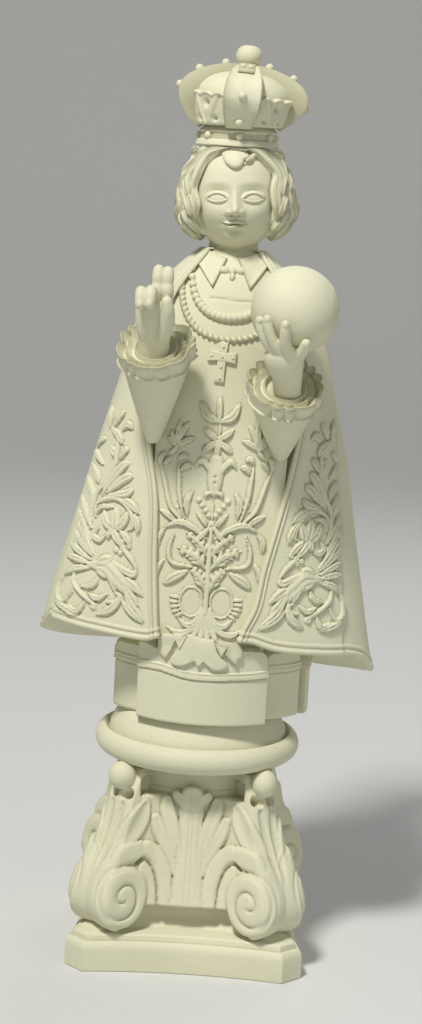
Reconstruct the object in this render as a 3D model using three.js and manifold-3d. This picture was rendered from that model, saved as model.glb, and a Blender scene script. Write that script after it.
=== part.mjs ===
// A cast plaster statuette in three pieces: a scrolled pedestal, a robed child figure with a globe, and a crown.
// Millimetres, +Z up, the front towards -Y. The origin is the centre of the plinth's underside.
import * as THREE from "three";
import { mergeVertices } from "three/addons/utils/BufferGeometryUtils.js";
import Module from "manifold-3d";

// Clearance between pieces that rest on each other
const JOINT_GAP = 0.3;

// Pedestal: plinth, base block, four scroll consoles, leaf panels, neck and torus
const PLINTH_HALF = 58.5;
const PLINTH_CHAMFER = 9.5;
const PLINTH_FACE = 10.5;
const PLINTH_TOP = 15.5;
const PLINTH_BEVEL = 3.5;
const PLINTH_HOLLOW = 4.5;
const BLOCK_HALF = 54.5;
const BLOCK_CHAMFER = 8;
const BLOCK_HOLLOW = 13;
const BLOCK_THICK = 4;
const SLOPE_HALF = 38;
const CONSOLE_REACH = 69;
const CONSOLE_HALF = 12.6;
const CONSOLE_INNER = 22;
const CONSOLE_RISE = 78;
const VOLUTE_RADIUS = 12.5;
const KNOB_RADIUS = 6.8;
const KNOB_INSET = 19.4;
const PANEL_BASE_DEPTH = 43;
const PANEL_TOP_DEPTH = 31;
const PANEL_RECESS = 8;
const NECK_RADIUS = 34.5;
const NECK_HEIGHT = 13;
const TORUS_RADIUS = 51.5;
const TORUS_THICK = 13;
const GROOVE_RADIUS = 45.5;
const CUSHION_RISE = 11;
const CUSHION_TOP_RADIUS = 38;

// Figure: heights are measured from the underside of its robe
const FIGURE_HEIGHT = 278.1;
const CLOAK_TOP = 229;
const ROBE_HALF_WIDTH = 46;
const ROBE_HALF_DEPTH = 41;
const PLEAT_STEP = 2.6;
const HEM_BAND_LOW = 23.6;
const HEM_BAND_HIGH = 27.6;
const CLOAK_THICK = 2.8;
const BORDER_WIDTH = 5;
const BORDER_RAISE = 0.9;
const GLOBE_RADIUS = 20.7;
const CUFF_RADIUS = 18.2;
const WRIST_RADIUS = 7;
const FINGER_RADIUS = 2.7;
const HEAD_HALF_WIDTH = 22.5;
const HEAD_HALF_HEIGHT = 27.5;
const HEAD_FRONT = 23.5;
const HEAD_BACK = 26;
const HEAD_TILT = 0.05;
const HEAD_DROP = 22.7;
const BEAD_RADIUS = 2.3;
const CORD_RADIUS = 1.3;
const CROSS_HEIGHT = 17;
const CROSS_WIDTH = 12.4;
const RELIEF_HEIGHT = 1.3;

// Crown: heights are measured from the underside of its band
const CROWN_BAND_RADIUS = 20;
const CROWN_BAND_HEIGHT = 9.5;
const CROWN_BOWL_RADIUS = 24.5;
const CROWN_DOME_HEIGHT = 35.5;
const CROWN_ARCH_REACH = 30.8;
const CROWN_ARCH_WIDTH = 17;
const CROWN_ARCH_THICK = 8;
const CROWN_BEAD_RADIUS = 1.7;
const CROWN_BALL_RADIUS = 6.3;
const CROWN_HEIGHT = 48.2;
const CROWN_LEAN = 0.08;

// Heights that follow from the ones above
const BLOCK_TOP = PLINTH_TOP + BLOCK_THICK;
const SLAB_TOP = BLOCK_TOP - 0.7;
const KNOB_REACH = CONSOLE_REACH - KNOB_INSET;
const NECK_BASE = BLOCK_TOP + CONSOLE_RISE - NECK_HEIGHT + 2;
const TORUS_BASE = NECK_BASE + NECK_HEIGHT;
const TORUS_TOP = TORUS_BASE + TORUS_THICK;
const PEDESTAL_TOP = TORUS_TOP + CUSHION_RISE;
const FIGURE_BASE = PEDESTAL_TOP + JOINT_GAP;
const CROWN_BASE = FIGURE_BASE + FIGURE_HEIGHT + JOINT_GAP;

const TAU = Math.PI * 2;
const wasm = await Module();
wasm.setup();

// Closed solids

function toManifold(geometry) {
  const bare = geometry.index ? geometry.toNonIndexed() : geometry;
  const placed = new THREE.BufferGeometry();
  placed.setAttribute("position", bare.getAttribute("position"));
  const merged = mergeVertices(placed, 1e-4);
  const index = merged.index.array;
  const corners = [];
  for (let i = 0; i < index.length; i += 3) {
    const [a, b, c] = [index[i], index[i + 1], index[i + 2]];
    if (a !== b && b !== c && c !== a) corners.push(a, b, c);
  }
  const build = (triangles) => new wasm.Manifold(new wasm.Mesh({
    numProp: 3,
    vertProperties: merged.attributes.position.array,
    triVerts: new Uint32Array(triangles),
  }));
  const made = build(corners);
  if (made.volume() > 0) return made;
  const turned = [];
  for (let i = 0; i < corners.length; i += 3) turned.push(corners[i], corners[i + 2], corners[i + 1]);
  return build(turned);
}

// A closed body through rings of equally many points, with a fan over each end.
function loft(rings) {
  const count = rings[0].length;
  const positions = [];
  const index = [];
  const middle = (ring) => ring.reduce((sum, p) => sum.add(p), new THREE.Vector3()).divideScalar(count);
  for (const ring of rings) for (const p of ring) positions.push(p.x, p.y, p.z);
  const low = middle(rings[0]);
  const high = middle(rings[rings.length - 1]);
  positions.push(low.x, low.y, low.z, high.x, high.y, high.z);
  const lowIndex = rings.length * count;
  const top = (rings.length - 1) * count;
  for (let i = 0; i < rings.length - 1; i++) {
    for (let j = 0; j < count; j++) {
      const a = i * count + j;
      const b = i * count + ((j + 1) % count);
      index.push(a, b, b + count, a, b + count, a + count);
    }
  }
  for (let j = 0; j < count; j++) {
    const next = (j + 1) % count;
    index.push(lowIndex, next, j, lowIndex + 1, top + j, top + next);
  }
  const geometry = new THREE.BufferGeometry();
  geometry.setAttribute("position", new THREE.Float32BufferAttribute(positions, 3));
  geometry.setIndex(index);
  return toManifold(geometry);
}

function unite(solids) {
  let queue = solids;
  while (queue.length > 1) {
    const next = [];
    for (let i = 0; i < queue.length; i += 2) {
      next.push(i + 1 < queue.length ? queue[i].add(queue[i + 1]) : queue[i]);
    }
    queue = next;
  }
  return queue[0];
}

function ellipsoid(centre, radii, around = 16, up = 10) {
  const geometry = new THREE.SphereGeometry(1, around, up);
  geometry.rotateX(Math.PI / 2);
  geometry.scale(radii[0], radii[1], radii[2]);
  geometry.translate(centre.x, centre.y, centre.z);
  return toManifold(geometry);
}

// A turned body about the Z axis from pairs of radius and height.
function turned(profile, segments) {
  const points = profile.map(([r, z]) => new THREE.Vector2(r, z));
  return toManifold(new THREE.LatheGeometry(points, segments).rotateX(Math.PI / 2));
}

function prism(outline, depth) {
  const shape = new THREE.Shape(outline.map(([x, y]) => new THREE.Vector2(x, y)));
  return new THREE.ExtrudeGeometry(shape, { depth, bevelEnabled: false });
}

// A smooth value between [place, value] pairs.
function track(pairs) {
  return (at) => {
    if (at <= pairs[0][0]) return pairs[0][1];
    for (let i = 1; i < pairs.length; i++) {
      const [a, b] = [pairs[i - 1], pairs[i]];
      if (at <= b[0]) {
        const t = (at - a[0]) / (b[0] - a[0]);
        const before = pairs[Math.max(i - 2, 0)];
        const after = pairs[Math.min(i + 1, pairs.length - 1)];
        const slope = (p, q) => ((q[1] - p[1]) / Math.max(q[0] - p[0], 1e-6)) * (b[0] - a[0]);
        const m0 = i > 1 ? slope(before, b) : b[1] - a[1];
        const m1 = i < pairs.length - 1 ? slope(a, after) : b[1] - a[1];
        const [t2, t3] = [t * t, t * t * t];
        return (2 * t3 - 3 * t2 + 1) * a[1] + (t3 - 2 * t2 + t) * m0
          + (3 * t2 - 2 * t3) * b[1] + (t3 - t2) * m1;
      }
    }
    return pairs[pairs.length - 1][1];
  };
}

const mix = (a, b, t) => a + (b - a) * t;
const steps = (count) => Array.from({ length: count }, (_, i) => i);
const vec = (x, y, z) => new THREE.Vector3(x, y, z);

// A rounded tube through points, each with a radius, closed by a small end ring.
function limb(points, radii, sides = 8, flat = 1) {
  const curve = new THREE.CatmullRomCurve3(points);
  const rings = points.map((p, i) => {
    const along = curve.getTangent(i / (points.length - 1));
    const side = vec(1, 0, 0).addScaledVector(along, -along.x).normalize();
    const front = side.clone().cross(along).normalize();
    return steps(sides).map((j) => {
      const a = (j / sides) * TAU;
      return p.clone()
        .addScaledVector(side, radii[i] * Math.cos(a))
        .addScaledVector(front, radii[i] * flat * Math.sin(a));
    });
  });
  return loft(rings);
}

const STROKE_SINK = 0.7;

// A raised stroke on a surface: its points lie on the surface, and it is widest part way along.
function stroke(points, normals, halfWidth, height) {
  const last = points.length - 1;
  return loft(points.map((p, i) => {
    const ahead = points[Math.min(i + 1, last)].clone().sub(points[Math.max(i - 1, 0)]);
    const side = ahead.clone().cross(normals[i]).normalize();
    const swell = 0.25 + 0.75 * Math.sin(Math.PI * (0.08 + (0.84 * i) / last));
    const lift = (n) => p.clone().addScaledVector(normals[i], n);
    return [
      lift(-STROKE_SINK).addScaledVector(side, -halfWidth * swell),
      lift(-STROKE_SINK).addScaledVector(side, halfWidth * swell),
      lift(height * swell),
    ];
  }));
}

// Pedestal

// A square with chamfered corners and hollowed sides.
function hollowSquare(half, chamfer, hollow, z, perSide = 3) {
  const ring = [];
  for (let side = 0; side < 4; side++) {
    const turn = (side * Math.PI) / 2;
    for (let i = 0; i <= perSide; i++) {
      const t = (i / perSide) * 2 - 1;
      const [x, y] = [t * (half - chamfer), -half + hollow * (1 - t * t)];
      ring.push(vec(x * Math.cos(turn) - y * Math.sin(turn), x * Math.sin(turn) + y * Math.cos(turn), z));
    }
  }
  return ring;
}

function plinth() {
  const top = PLINTH_HALF - PLINTH_BEVEL;
  return loft([
    hollowSquare(PLINTH_HALF, PLINTH_CHAMFER, PLINTH_HOLLOW, 0),
    hollowSquare(PLINTH_HALF, PLINTH_CHAMFER, PLINTH_HOLLOW, PLINTH_FACE),
    hollowSquare(top, PLINTH_CHAMFER - 1, PLINTH_HOLLOW, PLINTH_TOP),
  ]);
}

// A thin slab with hollowed sides, and the slope that rises from it to the recess under the leaves.
function baseBlock() {
  const ring = (half, hollow, z) => hollowSquare(half, BLOCK_CHAMFER, hollow, z);
  return loft([
    ring(BLOCK_HALF, BLOCK_HOLLOW * 0.45, PLINTH_TOP - 1), ring(BLOCK_HALF, BLOCK_HOLLOW, SLAB_TOP),
    ring(SLOPE_HALF, BLOCK_HOLLOW * 0.35, SLAB_TOP + 11),
  ]);
}

// The core between the consoles, recessed below the leaf panels.
function core() {
  const ring = (half, z) => hollowSquare(half, half * 0.35, 0, z, 1);
  return loft([
    ring(PANEL_BASE_DEPTH - PANEL_RECESS, PLINTH_TOP + 1),
    ring(PANEL_BASE_DEPTH - PANEL_RECESS, PLINTH_TOP + 15),
    ring(PANEL_BASE_DEPTH, PLINTH_TOP + 16),
    ring(mix(PANEL_BASE_DEPTH, PANEL_TOP_DEPTH, 0.55), PLINTH_TOP + 40),
    ring(PANEL_TOP_DEPTH, NECK_BASE - 2),
    ring(PANEL_TOP_DEPTH - 3, NECK_BASE + 1),
  ]);
}

// The place of a console's outer edge at a height above the block: distance from the axis along the diagonal.
const consoleEdge = track([
  [0, CONSOLE_REACH - 12], [4, CONSOLE_REACH - 4], [14, CONSOLE_REACH], [30, CONSOLE_REACH - 4.5],
  [50, CONSOLE_REACH - 13.5], [66, CONSOLE_REACH - 18.5], [CONSOLE_RISE, CONSOLE_REACH - 25],
]);

const consoleHalf = (h) => mix(CONSOLE_HALF, CONSOLE_HALF * 0.62, h / CONSOLE_RISE);

// A console stands on the diagonal and widens inwards, where it runs into the leaf panels.
function consoleBody() {
  const rise = [0, 5, 14, 30, 54, CONSOLE_RISE];
  const rings = rise.map((h) => {
    const half = consoleHalf(h);
    const outer = consoleEdge(h);
    const inner = half + (outer - CONSOLE_INNER) * 0.17;
    const z = BLOCK_TOP + h - 1;
    return [
      vec(CONSOLE_INNER, -inner, z), vec(outer - 3, -half, z), vec(outer, -half * 0.6, z),
      vec(outer, half * 0.6, z), vec(outer - 3, half, z), vec(CONSOLE_INNER, inner, z),
    ];
  });
  return loft(rings);
}

// A spiral ridge on the side of a console.
function volute(side) {
  const centre = [CONSOLE_REACH - VOLUTE_RADIUS + 1, BLOCK_TOP + VOLUTE_RADIUS - 0.5];
  const face = (CONSOLE_HALF + 0.6) * side;
  const turns = 1.25;
  const count = 6;
  const points = steps(count + 1).map((i) => {
    const t = i / count;
    const a = -0.35 * Math.PI + TAU * turns * t;
    const r = mix(VOLUTE_RADIUS - 1.6, 2, t);
    return vec(centre[0] + r * Math.sin(a), face, centre[1] + r * Math.cos(a));
  });
  return [stroke(points, points.map(() => vec(0, side, 0)), 2.2, 2)];
}

// Flutes and leaf lobes that fan out from the volute over the side of a console.
function consoleLeaves(side) {
  const root = [CONSOLE_REACH - 10, BLOCK_TOP + 27];
  const tips = [[26, 60], [38, 66]];
  return tips.map(([x, z], i) => {
    const count = 2;
    const points = steps(count + 1).map((k) => {
      const t = k / count;
      const bend = Math.sin(Math.PI * t) * (i < 1 ? 4 : 1.5);
      const face = consoleHalf(mix(root[1], BLOCK_TOP + z, t) - BLOCK_TOP) + 0.8;
      return vec(mix(root[0], x, t) + bend, face * side, mix(root[1], BLOCK_TOP + z, t) + bend);
    });
    return stroke(points, points.map(() => vec(0, side, 0)), i < 1 ? 4 : 2.6, 1.8);
  });
}

function consoleWithScrolls() {
  const knob = ellipsoid(vec(KNOB_REACH, 0, BLOCK_TOP + 73), [KNOB_RADIUS, KNOB_RADIUS + 1.5, KNOB_RADIUS], 7, 4);
  const parts = [consoleBody(), knob];
  for (const side of [-1, 1]) parts.push(...volute(side), ...consoleLeaves(side));
  const hole = ellipsoid(vec(KNOB_REACH + 1, 0, BLOCK_TOP + 62.5), [4, 4.4, 3.4], 4, 2);
  return unite(parts).subtract(hole);
}

// The front of a leaf panel at a height above the plinth top.
const panelDepth = (h) => mix(PANEL_BASE_DEPTH, PANEL_TOP_DEPTH, Math.min(Math.max((h - 16) / 55, 0), 1));

// One acanthus leaf with a lobed head, side lobes and a fluted stem, on the panel that faces -Y.
function acanthus() {
  const lobe = (path, halfWidth, height) => {
    const curve = new THREE.CatmullRomCurve3(path.map(([x, h]) => vec(x, -panelDepth(h), PLINTH_TOP + h)));
    const points = curve.getPoints(path.length - 1);
    return stroke(points, points.map(() => vec(0, -1, 0.15)), halfWidth, height);
  };
  const parts = [lobe([[0, 17], [0, 40], [0, 60], [0, 79]], 5.5, 5.5)];
  for (const side of [-1, 1]) {
    parts.push(
      lobe([[side * 3, 28], [side * 5, 54], [side * 14, 68]], 4, 4),
      lobe([[side * 8, 18], [side * 11, 40], [side * 20, 52]], 4.2, 3.6),
    );
  }
  return unite(parts);
}

function pedestal() {
  const parts = [plinth(), baseBlock(), core()];
  const corner = consoleWithScrolls();
  const leaf = acanthus();
  for (let quarter = 0; quarter < 4; quarter++) {
    parts.push(corner.rotate([0, 0, 45 + 90 * quarter]), leaf.rotate([0, 0, 90 * quarter]));
  }
  const neck = turned([[0, NECK_BASE - 2], [NECK_RADIUS, NECK_BASE], [NECK_RADIUS, TORUS_BASE + 2], [0, TORUS_BASE + 2]], 8);
  const half = TORUS_THICK / 2;
  const bulge = steps(4).map((i) => {
    const a = mix(-0.42, 0.5, i / 3) * Math.PI;
    return [TORUS_RADIUS - 6 + 6 * Math.cos(a), TORUS_BASE + half + half * Math.sin(a)];
  });
  const ring = turned([
    [0, TORUS_BASE - 1.5], [NECK_RADIUS + 4, TORUS_BASE - 1.5], ...bulge,
    [GROOVE_RADIUS, TORUS_TOP - 2.2], [GROOVE_RADIUS - 1, TORUS_TOP], [GROOVE_RADIUS - 2.8, TORUS_TOP + 4.3],
    [CUSHION_TOP_RADIUS + 1.2, PEDESTAL_TOP - 1.6], [CUSHION_TOP_RADIUS - 1, PEDESTAL_TOP], [0, PEDESTAL_TOP],
  ], 22);
  return unite([...parts, neck, ring]);
}

// Figure: the robe and the cloak

const cloakHalfWidth = track([
  [0, 90], [35, 84], [64, 78], [90, 72], [131, 63], [167, 53.5], [187, 49], [202, 43], [215, 33], [223, 25], [229, 18],
]);
const cloakFront = track([
  [0, 47.5], [35, 47], [90, 43.5], [131, 40.5], [167, 38], [187, 36], [202, 32], [215, 26.5], [223, 21], [229, 16],
]);
const cloakBack = track([
  [0, 55], [35, 52], [90, 46], [131, 41], [167, 36.5], [187, 34], [202, 30], [215, 25], [223, 20], [229, 16],
]);
const axisX = track([[0, 3.4], [35, 1.2], [64, 1.6], [90, 2.8], [131, 4.5], [167, 5], [229, 4.5]]);

// Where the cloak's front edges run, left and right of the figure's axis.
const leftOpening = track([
  [35, -21], [44, -22], [80, -25.8], [110, -28.6], [138, -35], [162, -38], [187, -33], [207, -26.5], [229, -11.3],
]);
const rightOpening = track([
  [35, 15.5], [44, 17.5], [58, 22.8], [78, 25.4], [110, 31], [140, 35.4], [162, 36.5], [187, 33], [207, 26.5], [229, 12.1],
]);
const leftPanelEdge = track([[35, -76], [52, -75], [97, -68], [131, -60.5], [167, -50], [187, -45], [229, -15.2]]);
const rightPanelEdge = track([[30, 69.5], [66, 66], [97, 62], [124, 57], [165, 51.5], [187, 46], [229, 15.6]]);

// The hem's height round the cloak, by the angle from the front towards +X, in degrees.
const hem = track([
  [-180, 18], [-130, 24], [-93, 33.5], [-80, 38], [-72, 44], [-50, 42], [-32, 40.5], [-25, 42.5], [25, 42.5],
  [38, 38.5], [52, 36], [70, 32], [84, 25], [93, 21.5], [130, 16], [180, 18],
]);

// A point on the cloak's outer face at a sideways distance from the axis, on the front half.
function onCloak(across, height, raise = 0) {
  const wide = cloakHalfWidth(height) + raise;
  const share = Math.min(Math.abs(across) / wide, 0.999);
  return vec(axisX(height) + across, -(cloakFront(height) + raise) * Math.sqrt(1 - share * share), height);
}

function onRobe(across, height) {
  return onCloak(across, height, -CLOAK_THICK);
}

function outward(surface, across, height) {
  const step = 0.5;
  const along = surface(across + step, height).sub(surface(across - step, height));
  const up = surface(across, height + step).sub(surface(across, height - step));
  return along.cross(up).normalize();
}

// One ring of the cloak. It dips under the robe in the front opening and steps up at each panel.
function cloakRing(share) {
  const ring = [];
  const put = (across, raise) => {
    const guess = Math.atan2(across, cloakFront(60)) * (180 / Math.PI);
    const low = hem(guess);
    const height = mix(low, CLOAK_TOP, share);
    ring.push(onCloak(across, height, raise));
  };
  const at = mix(hem(0), CLOAK_TOP, share);
  const [left, right] = [leftOpening(at), rightOpening(at)];
  const [leftEdge, rightEdge] = [leftPanelEdge(at), rightPanelEdge(at)];
  const border = Math.min(BORDER_WIDTH, (right - left) * 0.14);
  put(left + 1.5, -2 * CLOAK_THICK);
  put(right - 1.5, -2 * CLOAK_THICK);
  put(right, 0);
  put(right + 0.3, BORDER_RAISE);
  put(right + border, BORDER_RAISE);
  put(right + border + 0.6, 0);
  for (const t of [0.33, 0.66]) put(mix(right + border, rightEdge, t), 0);
  put(rightEdge - 0.5, 0);
  put(rightEdge, -1.2);
  const backCount = 11;
  const wide = cloakHalfWidth(at);
  const from = Math.asin(Math.min(rightEdge / wide, 0.98));
  const to = TAU / 2 + Math.asin(Math.min(-leftEdge / wide, 0.98));
  for (let i = 1; i < backCount; i++) {
    const a = mix(from + 0.08, TAU - (to - TAU / 2) - 0.08, i / backCount);
    const degrees = (a * 180) / Math.PI;
    const height = mix(hem(degrees > 180 ? degrees - 360 : degrees), CLOAK_TOP, share);
    const w = cloakHalfWidth(height) - 1.2;
    const depth = Math.cos(a) > 0 ? cloakFront(height) - 1.2 : cloakBack(height);
    ring.push(vec(axisX(height) + w * Math.sin(a), -depth * Math.cos(a), height));
  }
  put(leftEdge, -1.2);
  put(leftEdge + 0.5, 0);
  for (const t of [0.66, 0.33]) put(mix(left - border, leftEdge, t), 0);
  put(left - border - 0.6, 0);
  put(left - border, BORDER_RAISE);
  put(left - 0.3, BORDER_RAISE);
  put(left, 0);
  return ring;
}

function cloak() {
  const shares = [0, 0.03, 0.2, 0.42, 0.62, 0.78, 0.88, 0.95, 1];
  const rings = shares.map(cloakRing);
  return loft(rings);
}

// The robe's pleats: start and end in degrees, and how far each stands out sideways and to the front or back.
const ROBE_PLEATS = [
  [-43, 38, PLEAT_STEP, PLEAT_STEP], [39, 71, PLEAT_STEP + 1, -9], [72, 77, -2, -10], [78, 126, PLEAT_STEP + 2.8, 0],
  [127, 134, 0, -3], [135, 225, 1, 1], [226, 233, -2, -3], [234, 282, 0.5, 0],
  [283, 289, -4, -10], [290, 316, PLEAT_STEP + 1, -9],
];

// The robe under the cloak, with box pleats and a raised band above its lower edge.
function robe() {
  const ring = (height, extra) => {
    const points = [];
    for (const [from, to, wider, deeper] of ROBE_PLEATS) {
      const count = Math.max(Math.round((to - from) / 28), 1);
      for (let i = 0; i <= count; i++) {
        const a = (mix(from, to, i / count) * Math.PI) / 180;
        points.push(vec(
          axisX(0) + (ROBE_HALF_WIDTH + wider + extra) * Math.sin(a),
          -(ROBE_HALF_DEPTH + deeper + extra + 1.5 * Math.max(Math.cos(a), 0)) * Math.cos(a),
          height,
        ));
      }
    }
    return points;
  };
  const skirt = loft([
    ring(0, -0.6), ring(1.2, 0), ring(HEM_BAND_LOW, 0), ring(HEM_BAND_LOW + 0.4, 0.9), ring(HEM_BAND_HIGH, 0.9),
    ring(HEM_BAND_HIGH + 0.4, 0), ring(HEM_BAND_HIGH + 6.4, -0.6), ring(HEM_BAND_HIGH + 10.4, -5),
  ]);
  const heights = [34, 80, 130, 187, 205, 220, CLOAK_TOP + 2];
  const around = 12;
  const front = loft(heights.map((height) => steps(around).map((i) => {
    const a = (i / around) * TAU;
    const half = Math.min(33, cloakHalfWidth(height) - CLOAK_THICK - 1);
    if (Math.cos(a) > 0) return onRobe(half * Math.sin(a), height);
    return vec(axisX(height) + half * Math.sin(a), -8 * Math.cos(a), height);
  })));
  return unite([skirt, front]);
}

// Raised ornament on the robe and the cloak panels

function drawn(surface, path, halfWidth, count = 3) {
  const curve = new THREE.CatmullRomCurve3(path.map(([across, height]) => vec(across, 0, height)));
  const spots = curve.getPoints(count);
  const points = spots.map((p) => surface(p.x, p.z));
  const normals = spots.map((p) => outward(surface, p.x, p.z));
  return stroke(points, normals, halfWidth, RELIEF_HEIGHT);
}

function robeOrnament() {
  const parts = [drawn(onRobe, [[0, 46], [0, 70], [0, 94]], 1.6)];
  parts.push(drawn(onRobe, [[0, 142], [0, 149], [0, 156]], 1.5, 1));
  parts.push(drawn(onRobe, [[0, 100], [0, 112], [0, 121]], 3.4, 2));
  for (const side of [-1, 1]) {
    parts.push(
      drawn(onRobe, [[side, 147], [side * 5, 150], [side * 9, 155]], 1.8, 2),
      drawn(onRobe, [[-side * 7, 128], [0, 133], [side * 7, 139]], 1.7, 2),
      drawn(onRobe, [[side, 90], [side * 10, 97], [side * 21, 90]], 1.4, 2),
      drawn(onRobe, [[side * 15, 95], [side * 19, 112], [side * 24, 131]], 1.3, 1),
      drawn(onRobe, [[side, 66], [side * 8, 77], [side * 17, 83]], 2.4, 2),
      drawn(onRobe, [[side * 2, 46], [side * 9, 51], [side * 13, 60]], 1.4, 2),
      drawn(onRobe, [[side * 2, 40], [side * 9, 35], [side * 16, 37]], 1.6, 1),
    );
  }
  return parts;
}

// Panel ornament in shares of the panel: across from the inner border outwards, and height above the hem.
function panelOrnament(opening, edge) {
  const place = (share, height) => {
    const inner = opening(height) + Math.sign(opening(height)) * BORDER_WIDTH;
    return [mix(inner, edge(height), share), height];
  };
  const vine = [
    [[0.72, 60], [0.78, 84], [0.6, 104], [0.75, 126], [0.55, 146]],
    [[0.78, 78], [0.4, 92], [0.12, 96]],
    [[0.85, 66], [0.55, 72], [0.3, 64]],
    [[0.92, 54], [0.6, 62], [0.38, 52]],
    [[0.7, 98], [0.45, 104], [0.3, 116]],
  ];
  return vine.map((path, i) => drawn(onCloak, path.map(([s, h]) => place(s, h)), 2, i ? 2 : 4));
}

// Sleeves, cuffs and hands

// Rings round a forearm: distance along it, radius and depth of the ruffle.
const CUFF_RINGS = [
  [-24, 0.82, 0], [-7, 0.92, 0.3], [0, 1, 1], [-2.8, 0.78, 0.5], [1, 0.72, 0.8], [-0.6, 0.5, 0],
];

function sleeve(centre, along, foot) {
  const side = vec(1, 0, 0).addScaledVector(along, -along.x).normalize();
  const over = side.clone().cross(along).normalize();
  const ringAt = (offset, radius, ruffle, middle = centre, around = 12) => steps(around).map((i) => {
    const a = (i / around) * TAU;
    const r = radius + ruffle * (i % 2 ? 1 : -0.4);
    return middle.clone().addScaledVector(along, offset)
      .addScaledVector(side, r * Math.cos(a)).addScaledVector(over, r * Math.sin(a));
  });
  const cuff = loft(CUFF_RINGS.map(([offset, share, ruffle]) => ringAt(offset, CUFF_RADIUS * share, ruffle)));
  const root = centre.clone().addScaledVector(along, -6);
  const drape = loft([
    ringAt(0, CUFF_RADIUS * 0.9, 0, root, 8),
    ringAt(0, CUFF_RADIUS * 0.62, 0, root.clone().lerp(foot, 0.45), 8),
    ringAt(0, CUFF_RADIUS * 0.18, 0, foot, 8),
  ]);
  return unite([cuff, drape]);
}

function globe(centre) {
  return ellipsoid(centre, [GLOBE_RADIUS, GLOBE_RADIUS, GLOBE_RADIUS], 13, 8);
}

function blessingHand(wrist) {
  const at = (x, y, z) => wrist.clone().add(vec(x, y, z));
  const finger = FINGER_RADIUS;
  return unite([
    limb([at(0, 6, -10), at(0, 2, 0), at(0, -1, 8), at(0, -3, 15), at(0.4, -3, 21), at(0.8, -3, 24)],
      [WRIST_RADIUS, WRIST_RADIUS, 8, 9, 8.6, 6], 7, 0.62),
    limb([at(0, -3, 18), at(0.6, -5, 26), at(0.7, -5.6, 34), at(0.8, -4.6, 38.4)], [finger, finger, finger + 0.4, 1.8], 5),
    limb([at(5, -3, 18), at(5, -5, 26), at(5, -5.6, 34), at(4.9, -4.6, 38)], [finger, finger, finger + 0.4, 1.8], 5),
    limb([at(-2.6, -3, 19), at(-2.8, -8, 23.4), at(-2.6, -11.8, 21), at(-2.4, -11.6, 15.6)],
      [finger, finger + 0.4, finger + 0.4, 1.9], 5),
    limb([at(-7, -2, 17), at(-7.6, -7, 21.8), at(-7.4, -10.8, 19.4), at(-7, -10.6, 14.4)],
      [finger, finger + 0.4, finger + 0.4, 1.9], 5),
    limb([at(4.6, -1, 7), at(7, -5, 13), at(7.2, -8.5, 18.5), at(6.2, -9.6, 22.4)], [3.4, 3.4, 3, 1.8], 5),
  ]);
}

function holdingHand(wrist, held) {
  const finger = FINGER_RADIUS;
  const reach = (x, z) => {
    const gap = GLOBE_RADIUS + finger * 0.55;
    const [dx, dz] = [x - held.x, z - held.z];
    return vec(x, held.y - Math.sqrt(Math.max(gap * gap - dx * dx - dz * dz, 4)), z);
  };
  const at = (x, y, z) => wrist.clone().add(vec(x, y, z));
  const under = held.z - 20;
  const fingers = [
    [[held.x - 6, under], [held.x - 13, held.z - 14], [held.x - 15.6, held.z - 6.8]],
    [[held.x - 3, under], [held.x - 9.5, held.z - 13], [held.x - 11.8, held.z - 5.8]],
    [[held.x, under], [held.x - 3.6, held.z - 13], [held.x - 4, held.z - 6.6]],
    [[held.x + 4, under], [held.x + 5, held.z - 17.5], [held.x + 6.4, held.z - 14.5]],
  ];
  const parts = fingers.map((path) => {
    const points = path.map(([x, z]) => reach(x, z));
    points.push(points[2].clone().add(vec(-0.2, 0.6, 2.2)));
    return limb(points, [finger + 0.3, finger, finger * 0.9, 1.2], 5);
  });
  parts.push(limb(
    [at(1, 8, -10), at(0, 2, -2), at(-1, -5, 4.5), at(-2, -9, 10.5), at(-2, -9, 15)],
    [WRIST_RADIUS, WRIST_RADIUS, 9, 10.5, 8], 7, 0.7,
  ));
  return unite(parts);
}

// Head, hair and collar

function bump(x, z, cx, cz, sx, sz) {
  return Math.exp(-(((x - cx) / sx) ** 2) - ((z - cz) / sz) ** 2);
}

// A calm child's face on even thirds: how far the front stands out at a place across and above the head's centre.
function faceRelief(x, z) {
  const even = Math.abs(x);
  return 4.4 * bump(x, z, 0, -6.5, 2.9, 2.6)
    + 1.8 * bump(x, z, 0, -1, 2.2, 5)
    - 2.6 * bump(even, z, 7.6, 0.5, 4.4, 3)
    + 1.9 * bump(even, z, 7.8, -0.4, 3.2, 1.6)
    + 1.2 * bump(even, z, 8, 5.6, 5, 1.8)
    + 1.2 * bump(even, z, 11, -8, 6, 6)
    + 2 * bump(x, z, 0, -11.5, 4.4, 1.2)
    - 1.4 * bump(x, z, 0, -13.2, 4.6, 0.9)
    + 1.9 * bump(x, z, 0, -15, 3.6, 1.3)
    + 2.2 * bump(x, z, 0, -21, 5, 3);
}

// Turns round the head in degrees, and heights on it: close together over the face, far apart elsewhere.
const HEAD_TURNS = [0, 7, 14, 22, 31, 42, 60, 90, 140];
const HEAD_LIFTS = [-26.5, -23, -20.5, -17.2, -15, -13.2, -11.5, -9, -6.5, -3, -0.4, 2.4, 5.6, 12, 20, 24];

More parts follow.
